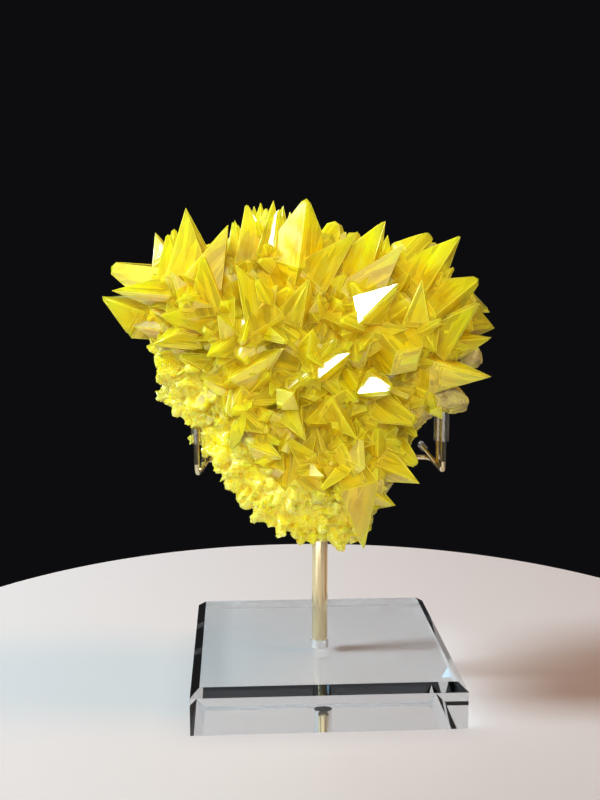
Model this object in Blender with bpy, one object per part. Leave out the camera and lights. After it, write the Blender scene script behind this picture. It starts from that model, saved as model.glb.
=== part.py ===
"""Native sulfur crystal cluster, resting on a clear acrylic and brass stand.

The front of the object faces -Y and +X is to its right. The origin is the centre of the
underside of the acrylic base.
"""

import math
import random
from collections import namedtuple

import bmesh
import bpy
from mathutils import Matrix, Vector, noise

MM = 0.001
GAP = 0.3 * MM

# Stand: a square acrylic base with sloping top edges, a brass post set in a blind hole, and
# two brass arms that each end in an upright cradle with a clear sleeve on either leg; the
# right one also has a thin prong with a clear cap
BASE_SIDE = 76.2 * MM
BASE_THICK = 12.7 * MM
BEVEL_OUT = 2.6 * MM
BEVEL_DOWN = 2.1 * MM
HOLE_FLOOR_Z = 4.1 * MM
POST_DIAMETER = 4.76 * MM
POST_FOOT_Z = 5.9 * MM
POST_TOP_Z = 73.0 * MM
POST_CHAMFER = 0.5 * MM
POST_SIDES = 32
ARM_ROD = 1.5 * MM
ARM_Y = 0.7 * MM
ARM_Z = 68.5 * MM
CRADLE_Z = 68.0 * MM
CRADLE_FRONT_Y = -18.0 * MM
CRADLE_REAR_Y = -8.0 * MM
CRADLE_ROUNDING = 3.0 * MM
PRONG_ROD = 0.9 * MM
PRONG_START = Vector((33.9, -9.0, 68.0)) * MM
PRONG_TIP = Vector((29.5, -5.0, 73.2)) * MM
CAP_OUTSIDE = 2.0 * MM
CAP_SPAN = (-1.7 * MM, 1.0 * MM)
CAP_CHAMFER = 0.35 * MM
SLEEVE_OUTSIDE = 2.95 * MM
SLEEVE_SIDES = 12
ROD_SIDES = 8
CUT_SIDES = 12

# Each leg of the cradles: its name, its place, and the heights of its sleeve's foot and top
Leg = namedtuple("Leg", "name x y foot top")
LEFT_LEGS = (
    Leg("left_front", -36.0 * MM, CRADLE_FRONT_Y, 77.0 * MM, 81.0 * MM),
    Leg("left_rear", -34.4 * MM, CRADLE_REAR_Y, 75.5 * MM, 82.0 * MM),
)
RIGHT_LEGS = (
    Leg("right_front", 33.6 * MM, CRADLE_FRONT_Y, 76.8 * MM, 85.4 * MM),
    Leg("right_rear", 34.0 * MM, CRADLE_REAR_Y, 75.2 * MM, 86.0 * MM),
)

# Front view: places are read on a plane 10 mm in front of the post, from this eye point, in mm
VIEW_PLANE_Y = -10.0
EYE = Vector((-24.7, -321.3, 134.8))

# Body of the cluster, the mass that the crystals grow from: front view outline, in mm
BODY_CENTRE = (-6.0, 98.0)
BODY_OUTLINE = (
    (36, 108), (37.5, 117), (33, 125), (25, 128), (18, 130), (10, 131.5), (3, 134), (-4, 137),
    (-11, 137), (-18, 137.5), (-24, 135), (-30, 131), (-38, 132), (-45, 127), (-49, 119),
    (-51, 109), (-48.5, 102), (-46, 95), (-43.5, 88), (-38, 81), (-32, 73.5), (-27, 65.5),
    (-20.5, 58.5), (-14, 52), (-7, 48.5), (1, 47.5), (8, 50), (14, 56), (19, 63), (24, 72),
    (28, 80), (34, 84), (37, 90), (37, 99),
)
BODY_SECTORS = 36
BODY_RINGS = 6
FRONT_BULGE = 17.0
BACK_BULGE = 21.0
DOME_POWER = 2.6
RIM_DEPTH = -6.0
FOOT_LEAN = 11.0
LEAN_BELOW_Z = 92.0
LEAN_SPAN = 40.0
BACK_THIN = 0.42
BACK_THIN_Z = 66.0
BACK_FULL_SPAN = 26.0
FRONT, BACK = -1, 1
LUMP_HEIGHTS = {FRONT: 2.4, BACK: 5.5}
LUMP_SIZE = 9.0
SMALL_LUMP_HEIGHT = 1.4
SMALL_LUMP_SIZE = 4.5

# Half widths of sulfur's steep pyramid, along its a and b axes, for a half height of 1
WIDTH_A = 0.427
WIDTH_B = 0.525

# One crystal: where its point shows in the front view, the way it points in that view
# (0 right, 90 up), its lean out to the front, and its half height, then its turn about its
# own axis, its width, how much of the point is cut off, how steep the cap on the cut is,
# how much of its two sharper edges is shaved off, how far behind the front of the body it is
# rooted, and how many smaller parallel crystals flank it. Millimetres and degrees.
Crystal = namedtuple(
    "Crystal", "x z heading lift length roll width blunt cap shave back flank",
    defaults=(0, 1.0, 0.0, 0.3, 0.0, 0.0, 1))

RIM_CRYSTALS = (
    Crystal(-62, 117.5, 150, 0, 13, roll=60, back=3, flank=0),
    Crystal(-59.2, 119, 176, 12, 15, width=0.8, flank=0),
    Crystal(-63.3, 127.3, 157, 4, 17, roll=40, width=0.95, blunt=0.3, cap=0.15, flank=0),
    Crystal(-41.8, 137.2, 95, -5, 13, roll=10, width=0.8, blunt=0.12, back=4),
    Crystal(-43.6, 135.4, 100, 8, 12, roll=70, width=0.9, blunt=0.1, back=1),
    Crystal(-38.3, 141.8, 94, 8, 17, roll=50, flank=0),
    Crystal(-34.5, 134.8, 84, 0, 12, roll=30, back=5),
    Crystal(-26.7, 137.1, 66, 12, 16, roll=40),
    Crystal(-30.5, 133, 80, 5, 13, roll=20, back=5),
    Crystal(-24.8, 138.6, 96, 5, 12, width=0.8, back=3),
    Crystal(-21.6, 143.4, 100, 4, 15, roll=50, blunt=0.06, back=3),
    Crystal(-19.4, 142.3, 92, 0, 13, roll=40, back=8),
    Crystal(-17.6, 143.2, 90, 0, 12, width=0.8, back=5),
    Crystal(-16, 142.2, 88, 3, 14, roll=60, blunt=0.04, back=3),
    Crystal(-14, 143.8, 84, 6, 14, roll=30, width=0.9, back=2),
    Crystal(-12.4, 141.2, 84, -5, 14, roll=60, back=10),
    Crystal(-11.3, 142.4, 80, 0, 12, roll=80, width=0.8, back=5),
    Crystal(-9.4, 140.7, 95, 6, 13, roll=20, back=6),
    Crystal(-4.6, 145.4, 82, 12, 18, roll=90, width=1.12, blunt=0.1, cap=0.5),
    Crystal(3.6, 141, 82, 0, 15, roll=60, width=1.25, blunt=0.24, cap=0.25, back=4),
    Crystal(9.6, 135.3, 47, 12, 17, roll=50),
    Crystal(17.4, 138.2, 60, 8, 19, roll=60, width=1.05, back=2),
    Crystal(18.1, 134.3, 80, 0, 12, roll=20, back=5),
    Crystal(22.9, 132.1, 50, 12, 20, roll=45, back=3),
    Crystal(38.9, 134.3, 47, 4, 18, roll=70, blunt=0.03, back=2),
    Crystal(45.8, 123, 32, 5, 17, roll=80, blunt=0.15),
    Crystal(44.7, 115, 45, 20, 17, roll=48),
    Crystal(49.3, 108, -11, -30, 15, roll=80, width=1.1, back=9),
    Crystal(48.3, 105.4, 12, 2, 12, roll=20, back=5),
    Crystal(48.8, 94, -3, 12, 17, roll=30, width=0.95),
    Crystal(30.5, 79.5, -20, 25, 16, roll=45, blunt=0.25, cap=0.2),
    Crystal(28.2, 62.8, -26, 28, 13, roll=80, width=0.9),
    Crystal(21.3, 56.3, -25, 8, 11, roll=20),
    Crystal(12.2, 43.2, -78, 6, 18, roll=60, width=0.9, back=1),
)

FACE_CRYSTALS = (
    Crystal(28, 121.8, 86, 20, 12, roll=48, back=-3),
    Crystal(28, 93.2, -60, 62, 20, roll=75, width=1.1, blunt=0.5, cap=0),
    Crystal(0.3, 65.3, 0, 55, 13, roll=80, back=6),
    Crystal(-10, 88, 3, 40, 11, roll=85, blunt=0.04),
    Crystal(-11.3, 102.5, 38, 30, 15, roll=20),
    Crystal(5.8, 86.7, -55, 22, 11, roll=48),
    Crystal(-24.7, 126.2, 118, 20, 17, roll=45),
    Crystal(-34, 129.5, 95, 22, 16, roll=45, blunt=0.1),
    Crystal(-13, 120.6, 60, 30, 12, roll=20),
    Crystal(-1.8, 117, 85, 45, 4.5, roll=45, back=-2),
    Crystal(-16.2, 115, 80, 45, 4, roll=45, back=-2),
    Crystal(-4, 122, 70, 35, 13, roll=60),
    Crystal(-3, 108, 88, 50, 12, roll=10),
    Crystal(24.5, 108, 10, 30, 12, roll=60),
    Crystal(14, 104.5, 60, 45, 9, roll=45),
    Crystal(9.5, 64.5, -62, 30, 9, roll=20),
    Crystal(10, 76, -45, 40, 12, roll=30),
    Crystal(-5, 76, -50, 45, 10, roll=50),
    Crystal(-13, 77.5, -20, 45, 11, roll=45, blunt=0.35, cap=0.1),
    Crystal(-12, 71, -15, 45, 9, roll=10),
    Crystal(-48, 104, 190, 40, 12, roll=40),
    Crystal(-33, 100.5, 200, 50, 12, roll=60),
    Crystal(-46, 112, 170, 45, 13, roll=30),
    Crystal(-40, 118, 150, 40, 12, roll=70),
    Crystal(-43, 124.5, 120, 30, 13, roll=30),
    Crystal(-30, 112, 120, 50, 12, roll=50),
)

# Parallel crystals whose like facets catch the light together: the same fields, where the
# heading is that of the facet's middle line and the lean follows from the facet's plane
GLINT_NORMAL = Vector((-0.617, -0.656, 0.436))
GLINT_CRYSTALS = (
    Crystal(21.3, 120.8, 31, 0, 13, back=-5, flank=0),
    Crystal(10, 110.3, 25, 0, 4.3, back=-4),
    Crystal(7.7, 101.2, 25, 0, 10.5, back=-3),
    Crystal(-4, 95.3, 25, 0, 7, back=-3),
    Crystal(4, 105.3, 37, 0, 6, back=-4),
    Crystal(20.3, 90.3, -14, 0, 10, blunt=0.15, back=-7, flank=0),
    Crystal(-46.8, 135, 100, 0, 10),
)

# Smaller crystals over the rest of the cluster
FLANKED_LENGTH = 14
FLANK_SEED = 5
COVER_COUNT = 125
COVER_SEED = 11
CRUST_ANGLES = (math.radians(172), math.radians(292))
CRUST_FROM = 0.62
CRUST_RIM_COUNT = 34
CRUST_SEED = 8
BACK_COUNT = 26
BACK_SEED = 23

# Lumps of the pale rock that the crystals grew on, where it shows past them: place of the
# middle and half sizes, in mm
ROCK_LUMPS = (
    ((26, -4, 127), (6, 7, 5)),
    ((39, 0, 124), (5, 6, 5)),
    ((44, 0, 99), (4, 6, 4.5)),
    ((35.5, -12, 88.5), (5.5, 9, 4.5)),
    ((34, 2, 90), (6, 8, 6)),
    ((-36, -12, 86), (5, 8, 5)),
    ((8, 8, 118), (17, 9, 12)),
    ((-22, 9, 104), (16, 8, 15)),
    ((14, 10, 97), (13, 8, 11)),
)
ROCK_SEED = 3


def clear_scene():
    for old in list(bpy.data.objects):
        bpy.data.objects.remove(old, do_unlink=True)


def make_material(name, colour, roughness, metallic=0.0, alpha=1.0):
    material = bpy.data.materials.new(name)
    material.use_nodes = True
    shader = material.node_tree.nodes["Principled BSDF"]
    shader.inputs["Base Color"].default_value = (*colour, 1.0)
    shader.inputs["Roughness"].default_value = roughness
    shader.inputs["Metallic"].default_value = metallic
    shader.inputs["Alpha"].default_value = alpha
    return material


def link(name, mesh, material):
    obj = bpy.data.objects.new(name, mesh)
    obj.data.materials.append(material)
    bpy.context.scene.collection.objects.link(obj)
    return obj


def new_mesh(bm, name):
    bmesh.ops.recalc_face_normals(bm, faces=bm.faces)
    mesh = bpy.data.meshes.new(name)
    bm.to_mesh(mesh)
    bm.free()
    return mesh


def outline_radius(angle):
    """Distance from the body's centre to its outline, eased between the outline's points."""
    polar = sorted(
        (math.atan2(z - BODY_CENTRE[1], x - BODY_CENTRE[0]) % math.tau,
         math.hypot(x - BODY_CENTRE[0], z - BODY_CENTRE[1]))
        for x, z in BODY_OUTLINE)
    angle %= math.tau
    following = next((i for i, (at, _) in enumerate(polar) if at > angle), 0)
    before, after = polar[following - 1], polar[following]
    span = (after[0] - before[0]) % math.tau
    share = ((angle - before[0]) % math.tau) / span
    return before[1] + (after[1] - before[1]) * share


def smooth_step(value):
    value = min(max(value, 0.0), 1.0)
    return value * value * (3 - 2 * value)


def rim_depth(z):
    """The body leans forward towards its foot, which hangs in front of the post."""
    return RIM_DEPTH - FOOT_LEAN * smooth_step((LEAN_BELOW_Z - z) / LEAN_SPAN)


def body_depth(x, z, side):
    """Depth of the body's front or back at a place of the front view."""
    dx, dz = x - BODY_CENTRE[0], z - BODY_CENTRE[1]
    share = min(math.hypot(dx, dz) / outline_radius(math.atan2(dz, dx)), 1.0)
    dome = (1 - share ** DOME_POWER) ** (1 / DOME_POWER)
    if side == FRONT:
        return rim_depth(z) - FRONT_BULGE * dome
    fullness = BACK_THIN + (1 - BACK_THIN) * smooth_step((z - BACK_THIN_Z) / BACK_FULL_SPAN)
    return rim_depth(z) + BACK_BULGE * dome * fullness


def lumps(x, z, size, height):
    return height * noise.noise(Vector((x, 0.37 * (x + z), z)) / size)


def outline_place(angle, share):
    """Place of the front view at a share of the way from the body's centre to its outline."""
    reach = outline_radius(angle) * share
    return BODY_CENTRE[0] + reach * math.cos(angle), BODY_CENTRE[1] + reach * math.sin(angle)


def make_body():
    """Front and back domes on one rim, both lumpy, the back more so."""
    bm = bmesh.new()
    angles = [math.tau * sector / BODY_SECTORS for sector in range(BODY_SECTORS)]
    rim = []
    for angle in angles:
        x, z = outline_place(angle, 1 + lumps(angle, 0, 0.5, 0.04))
        rim.append(bm.verts.new(Vector((x, rim_depth(z), z)) * MM))
    for side in (FRONT, BACK):
        rows = []
        for ring in range(BODY_RINGS):
            share = math.sin(0.5 * math.pi * ring / BODY_RINGS)
            row = []
            for angle in angles if ring else angles[:1]:
                x, z = outline_place(angle, share)
                y = body_depth(x, z, side) + side * lumps(x, z, LUMP_SIZE, LUMP_HEIGHTS[side])
                y += side * lumps(z, x, SMALL_LUMP_SIZE, SMALL_LUMP_HEIGHT)
                row.append(bm.verts.new(Vector((x, y, z)) * MM))
            rows.append(row)
        for inner, outer in zip(rows, rows[1:] + [rim]):
            for sector in range(BODY_SECTORS):
                onward = (sector + 1) % BODY_SECTORS
                inside = inner[:1] if len(inner) == 1 else [inner[onward], inner[sector]]
                bm.faces.new([outer[sector], outer[onward]] + inside)
    bmesh.ops.triangulate(bm, faces=bm.faces)
    return new_mesh(bm, "body")


def cut_block(half_x, half_y, low, high, planes):
    """What is left of a block after a cut along each plane, given as normal and offset."""
    bm = bmesh.new()
    bmesh.ops.create_cube(bm, size=2)
    for vert in bm.verts:
        height = high if vert.co.z > 0 else low
        vert.co = Vector((vert.co.x * half_x, vert.co.y * half_y, height))
    for normal, offset in planes:
        normal = Vector(normal)
        geometry = list(bm.verts) + list(bm.edges) + list(bm.faces)
        bmesh.ops.bisect_plane(
            bm, geom=geometry, plane_co=normal * (offset / normal.length_squared),
            plane_no=normal, clear_outer=True)
        rim = [edge for edge in bm.edges if edge.is_boundary]
        bmesh.ops.holes_fill(bm, edges=rim, sides=0)
    bmesh.ops.remove_doubles(bm, verts=bm.verts, dist=0.001)
    bmesh.ops.dissolve_limit(bm, angle_limit=0.002, verts=bm.verts, edges=bm.edges)
    bmesh.ops.scale(bm, vec=Vector((MM, MM, MM)), verts=bm.verts)
    return new_mesh(bm, "block")


def crystal_mesh(length, width, blunt, cap, shave, skew=None):
    """A steep dipyramid with its point at +Z, its widest section at the origin."""
    reach = length / (1 - shave)
    a, b = WIDTH_A * reach * width, WIDTH_B * reach * width
    offsets = skew or (1.0,) * 4
    signs = ((1, 1), (1, -1), (-1, 1), (-1, -1))
    planes = [((x / a, y / b, 1 / reach), offset) for (x, y), offset in zip(signs, offsets)]
    planes += [((x / a, y / b, -1 / reach), 1) for x, y in signs]
    if shave:
        planes += [((0, y / b, z / reach), 1 - shave) for y in (1, -1) for z in (1, -1)]
    if blunt and cap:
        offset = blunt + (1 - blunt) / cap
        planes += [((x / a, y / b, 1 / (cap * reach)), offset) for x, y in signs]
    elif blunt:
        planes.append(((0, 0, 1), reach * (1 - blunt)))
    return cut_block(1.3 * a, 1.3 * b, -0.7 * reach, 1.3 * reach, planes)


def on_sight_line(x, z, depth):
    """The place at this depth that shows at x, z of the front view."""
    stretch = (depth - EYE.y) / (VIEW_PLANE_Y - EYE.y)
    return Vector((EYE.x + (x - EYE.x) * stretch, depth, EYE.z + (z - EYE.z) * stretch))


def frame(axis_a, axis_b, axis_c, place):
    turn = Matrix((axis_a, axis_b, axis_c)).transposed().to_4x4()
    return Matrix.Translation(place * MM) @ turn


def facing_frame(crystal):
    """Axes of a crystal from its heading, its lean to the front and its roll."""
    heading, lift, roll = (math.radians(v) for v in (crystal.heading, crystal.lift, crystal.roll))
    axis = Vector((math.cos(lift) * math.cos(heading), -math.sin(lift),
                   math.cos(lift) * math.sin(heading)))
    side = Vector((-math.sin(heading), 0, math.cos(heading)))
    front = side.cross(axis)
    if front.y > 0:
        front.negate()
    axis_b = front * math.cos(roll) + side * math.sin(roll)
    return axis_b.cross(axis), axis_b, axis


def glint_frame(crystal):
    """Axes of a crystal that has one steep facet in the plane of GLINT_NORMAL."""
    inward = math.radians(crystal.heading + 180)
    normal = GLINT_NORMAL.normalized()
    x, z = math.cos(inward), math.sin(inward)
    middle = Vector((x, -(x * normal.x + z * normal.z) / normal.y, z)).normalized()
    steepness = math.atan(1 / math.hypot(1 / WIDTH_A, 1 / WIDTH_B))
    axis = normal * math.sin(steepness) - middle * math.cos(steepness)
    across = (normal - axis * normal.dot(axis)).normalized()
    turn = math.atan2(1 / WIDTH_B, 1 / WIDTH_A)
    axis_a = Matrix.Rotation(-turn, 3, axis) @ across
    return axis_a, axis.cross(axis_a), axis


def place_seen(crystal, axes):
    """Middle of the crystal: rooted on the body, with its point where the view has it."""
    axis = axes[2]
    back_x = crystal.x - axis.x * crystal.length
    back_z = crystal.z - axis.z * crystal.length
    depth = body_depth(back_x, back_z, FRONT) + crystal.back
    point = on_sight_line(crystal.x, crystal.z, depth + axis.y * crystal.length)
    return point - axis * crystal.length


def seen_crystals():
    """Mesh and place of each crystal that the lists give, with the ones that flank it."""
    draw = random.Random(FLANK_SEED)
    for crystals, axes_of in ((RIM_CRYSTALS + FACE_CRYSTALS, facing_frame),
                              (GLINT_CRYSTALS, glint_frame)):
        for crystal in crystals:
            axes = axes_of(crystal)
            middle = place_seen(crystal, axes)
            mesh = crystal_mesh(crystal.length, crystal.width, crystal.blunt, crystal.cap,
                                crystal.shave)
            yield mesh, frame(*axes, middle)
            if crystal.length >= FLANKED_LENGTH:
                yield from flanking_crystals(crystal, axes[2], middle, draw)


def flanking_crystals(crystal, axis, middle, draw):
    """Smaller crystals that grow nearly parallel to a large one, beside and behind it."""
    beside = axis.cross(Vector((0, 1, 0))).normalized()
    for index in range(crystal.flank):
        length = crystal.length * draw.uniform(0.45, 0.65)
        lean = Vector([draw.uniform(-0.12, 0.12) for _ in range(3)])
        own_axis = (axis + lean).normalized()
        offset = beside * crystal.length * draw.uniform(0.28, 0.42) * (1 - 2 * (index % 2))
        offset += Vector((0, crystal.length * draw.uniform(0.05, 0.2), 0))
        point = middle + axis * crystal.length * draw.uniform(0.5, 0.72) + offset
        axes = turned_about(own_axis, draw)
        mesh = crystal_mesh(length, 1.1, 0, 0, draw.choice((0, 0, 0.12)), uneven(draw))
        yield mesh, frame(*axes, point - own_axis * length)


def uneven(draw):
    """Offsets of the four steep facets, which seldom grow out equally far."""
    return [draw.uniform(0.9, 1.12) for _ in range(4)]


def turned_about(axis, draw):
    """Axes of a crystal that points along an axis, at a random turn about it."""
    across = axis.orthogonal().normalized()
    across = Matrix.Rotation(draw.uniform(0, math.tau), 3, axis) @ across
    return across, axis.cross(across), axis


def clear_of_listed(x, z):
    """Whether a place of the front view is off every listed crystal's front."""
    for crystal in FACE_CRYSTALS + GLINT_CRYSTALS + RIM_CRYSTALS:
        heading = math.radians(crystal.heading)
        along = Vector((math.cos(heading), math.sin(heading)))
        offset = Vector((crystal.x - x, crystal.z - z))
        depth = offset.dot(along)
        if -1 < depth < 0.8 * crystal.length:
            if abs(offset.cross(along)) < 0.3 * crystal.length:
                return False
    return True


def body_normal(x, z, side):
    """Outward direction of the body's front or back, from its slopes either way."""
    step = 1.5
    slope_x = (body_depth(x + step, z, side) - body_depth(x - step, z, side)) / (2 * step)
    slope_z = (body_depth(x, z + step, side) - body_depth(x, z - step, side)) / (2 * step)
    return Vector((-slope_x * side, side, -slope_z * side)).normalized()


def in_crust(x, z):
    """Whether a place of the front view is in the grainy crust along the lower left edge."""
    dx, dz = x - BODY_CENTRE[0], z - BODY_CENTRE[1]
    angle = math.atan2(dz, dx) % math.tau
    if not CRUST_ANGLES[0] < angle < CRUST_ANGLES[1]:
        return False
    return math.hypot(dx, dz) > CRUST_FROM * outline_radius(angle)


def even_spread(count, draw):
    """Places of the front view at even spacing all over the outline, and how far out each."""
    golden = math.pi * (3 - math.sqrt(5))
    for index in range(count):
        share = math.sqrt((index + 0.5) / count)
        angle = index * golden + draw.uniform(-0.1, 0.1)
        outward = Vector((math.cos(angle), 0, math.sin(angle)))
        yield *outline_place(angle, 0.97 * share), outward * share


def grown_crystal(x, z, side, outward, length, blunt, root, draw):
    """A crystal rooted at a place of the body's front or back, pointing roughly outwards."""
    axis = body_normal(x, z, side) + 1.1 * outward
    axis += Vector([draw.uniform(-0.5, 0.5) for _ in range(3)])
    axis.normalize()
    axes = turned_about(axis, draw)
    mesh = crystal_mesh(length, draw.uniform(0.9, 1.15), blunt, 0, draw.choice((0, 0, 0.15)),
                        uneven(draw))
    place = Vector((x, body_depth(x, z, side), z)) - axis * root * length
    return mesh, frame(*axes, place)


def cover_crystals():
    """Smaller crystals over the rest of the front, blockier and finer in the crust."""
    draw = random.Random(COVER_SEED)
    for x, z, outward in even_spread(COVER_COUNT, draw):
        crust = in_crust(x, z)
        length = draw.uniform(4, 6.5) if crust else draw.uniform(6.5, 11)
        blunt = draw.choice((0.3, 0.45)) if crust else draw.choice((0, 0, 0.15, 0.35))
        root = 0.15 if crust else 0.4
        grown = grown_crystal(x, z, FRONT, outward, length, blunt, root, draw)
        if crust or clear_of_listed(x, z):
            yield grown


def crust_rim():
    """Stubby crystals that make the edge of the crust knobbly."""
    draw = random.Random(CRUST_SEED)
    for index in range(CRUST_RIM_COUNT):
        share = (index + draw.uniform(0.2, 0.8)) / CRUST_RIM_COUNT
        angle = CRUST_ANGLES[0] + (CRUST_ANGLES[1] - CRUST_ANGLES[0]) * share
        outward = Vector((math.cos(angle), 0, math.sin(angle)))
        x, z = outline_place(angle, draw.uniform(0.9, 0.96))
        length = draw.uniform(4, 7)
        blunt = draw.choice((0.3, 0.45))
        yield grown_crystal(x, z, FRONT, outward, length, blunt, 0.1, draw)


def back_crystals():
    """Scattered crystals on the rock of the back."""
    draw = random.Random(BACK_SEED)
    for x, z, outward in even_spread(BACK_COUNT, draw):
        length = draw.uniform(6, 12)
        blunt = draw.choice((0, 0, 0.3))
        yield grown_crystal(x, z, BACK, outward, length, blunt, 0.3, draw)


def rock_lumps():
    """Rounded lumps of rock, each a block with its corners knocked off."""
    draw = random.Random(ROCK_SEED)
    for middle, (half_x, half_y, half_z) in ROCK_LUMPS:
        planes = []
        for _ in range(14):
            normal = Vector([draw.gauss(0, 1) for _ in range(3)]).normalized()
            scaled = Vector((normal.x / half_x, normal.y / half_y, normal.z / half_z))
            planes.append((scaled, draw.uniform(0.8, 1.0)))
        mesh = cut_block(half_x, half_y, -half_z, half_z, planes)
        yield mesh, Matrix.Translation(Vector(middle) * MM)


def unite(body, operands):
    """One solid of the body and all that grows from it, without the pockets inside."""
    group = bpy.data.collections.new("growths")
    bpy.context.scene.collection.children.link(group)
    for mesh, place in operands:
        growth = bpy.data.objects.new("growth", mesh)
        growth.matrix_world = place
        group.objects.link(growth)
    host = bpy.data.objects.new("host", body)
    bpy.context.scene.collection.objects.link(host)
    join = host.modifiers.new("join", "BOOLEAN")
    join.operation = "UNION"
    join.solver = "EXACT"
    join.operand_type = "COLLECTION"
    join.collection = group
    depsgraph = bpy.context.evaluated_depsgraph_get()
    mesh = bpy.data.meshes.new_from_object(host.evaluated_get(depsgraph))
    for growth in list(group.objects):
        bpy.data.objects.remove(growth, do_unlink=True)
    bpy.data.objects.remove(host, do_unlink=True)
    bpy.data.collections.remove(group)
    keep_outer_shell(mesh)
    return mesh


def keep_outer_shell(mesh):
    """Drop the closed pockets that neighbouring crystals can leave between them."""
    bm = bmesh.new()
    bm.from_mesh(mesh)
    bm.faces.ensure_lookup_table()
    seen = set()
    shells = []
    for start in bm.faces:
        if start in seen:
            continue
        shell, queue = [], [start]
        seen.add(start)
        while queue:
            face = queue.pop()
            shell.append(face)
            for edge in face.edges:
                for other in edge.link_faces:
                    if other not in seen:
                        seen.add(other)
                        queue.append(other)
        shells.append(shell)
    shells.sort(key=len)
    for shell in shells[:-1]:
        bmesh.ops.delete(bm, geom=shell, context="FACES")
    bm.to_mesh(mesh)
    bm.free()
    mesh.update()


def cylinder_mesh(radius, low, high, sides, chamfer=0.0):
    """An upright cylinder about the origin's axis, with an optional chamfer on its top."""
    bm = bmesh.new()
    middle = Matrix.Translation((0, 0, (low + high) / 2))
    bmesh.ops.create_cone(bm, cap_ends=True, segments=sides, radius1=radius, radius2=radius,
                          depth=high - low, matrix=middle)
    if chamfer:
        rim = [edge for edge in bm.edges if all(v.co.z > high - chamfer for v in edge.verts)]
        bmesh.ops.bevel(bm, geom=rim, offset=chamfer, segments=1, affect="EDGES")
    return new_mesh(bm, "cylinder")


def tube_mesh(path, diameter, sides):
    """A round rod along a path of places, with closed ends."""
    curve = bpy.data.curves.new("rod", "CURVE")
    curve.dimensions = "3D"
    curve.bevel_depth = diameter / 2
    curve.bevel_resolution = (sides - 4) // 2
    curve.use_fill_caps = True
    spline = curve.splines.new("POLY")
    spline.points.add(len(path) - 1)
    for point, place in zip(spline.points, path):
        point.co = (*place, 1)
    rod = bpy.data.objects.new("rod", curve)
    bpy.context.scene.collection.objects.link(rod)
    depsgraph = bpy.context.evaluated_depsgraph_get()
    mesh = bpy.data.meshes.new_from_object(rod.evaluated_get(depsgraph))
    bpy.data.objects.remove(rod, do_unlink=True)
    bm = bmesh.new()
    bm.from_mesh(mesh)
    bmesh.ops.remove_doubles(bm, verts=bm.verts, dist=0.001 * MM)
    return new_mesh(bm, "rod")


def rounded_path(corners, radius, steps=3):
    """Places along straight legs whose inner corners are rounded."""
    path = [corners[0]]
    for before, corner, after in zip(corners, corners[1:], corners[2:]):
        start = corner + (before - corner).normalized() * radius
        end = corner + (after - corner).normalized() * radius
        for step in range(steps + 1):
            t = step / steps
            path.append(start * (1 - t) ** 2 + corner * (2 * t * (1 - t)) + end * t ** 2)
    return path + [corners[-1]]


def combine(host_mesh, operation, meshes):
    """The host mesh joined with, or cut by, each of the meshes in turn."""
    host = bpy.data.objects.new("host", host_mesh)
    bpy.context.scene.collection.objects.link(host)
    others = []
    for mesh in meshes:
        other = bpy.data.objects.new("other", mesh)
        bpy.context.scene.collection.objects.link(other)
        step = host.modifiers.new("step", "BOOLEAN")
        step.operation = operation
        step.solver = "EXACT"
        step.object = other
        others.append(other)
    depsgraph = bpy.context.evaluated_depsgraph_get()
    mesh = bpy.data.meshes.new_from_object(host.evaluated_get(depsgraph))
    for other in others + [host]:
        bpy.data.objects.remove(other, do_unlink=True)
    mesh.materials.clear()
    return mesh


def shade_round(mesh, angle=40):
    mesh.shade_smooth()
    mesh.set_sharp_from_angle(angle=math.radians(angle))


def make_base():
    """Square plate with sloping top edges and a blind hole for the post."""
    bm = bmesh.new()
    bmesh.ops.create_cube(bm, size=1)
    shoulder = BASE_THICK - BEVEL_DOWN
    for vert in bm.verts:
        height = shoulder if vert.co.z > 0 else 0
        vert.co = Vector((vert.co.x * BASE_SIDE, vert.co.y * BASE_SIDE, height))
    top = [face for face in bm.faces if face.calc_center_median().z > 0.99 * shoulder]
    raised = bmesh.ops.extrude_face_region(bm, geom=top)["geom"]
    bmesh.ops.delete(bm, geom=top, context="FACES_ONLY")
    rise = [item for item in raised if isinstance(item, bmesh.types.BMVert)]
    inset = 1 - 2 * BEVEL_OUT / BASE_SIDE
    bmesh.ops.scale(bm, vec=Vector((inset, inset, 1)), verts=rise)
    bmesh.ops.translate(bm, vec=Vector((0, 0, BEVEL_DOWN)), verts=rise)
    hole = cylinder_mesh(POST_DIAMETER / 2 + GAP, HOLE_FLOOR_Z, 2 * BASE_THICK, POST_SIDES)
    mesh = combine(new_mesh(bm, "base"), "DIFFERENCE", [hole])
    shade_round(mesh, 30)
    link("acrylic_base", mesh, make_material("clear_acrylic", (0.9, 0.92, 0.94), 0.05, alpha=0.3))


def make_post():
    mesh = cylinder_mesh(POST_DIAMETER / 2, POST_FOOT_Z, POST_TOP_Z, POST_SIDES, POST_CHAMFER)
    shade_round(mesh)
    link("brass_post", mesh, make_material("brass_post", (0.72, 0.53, 0.25), 0.25, 1.0))


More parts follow.
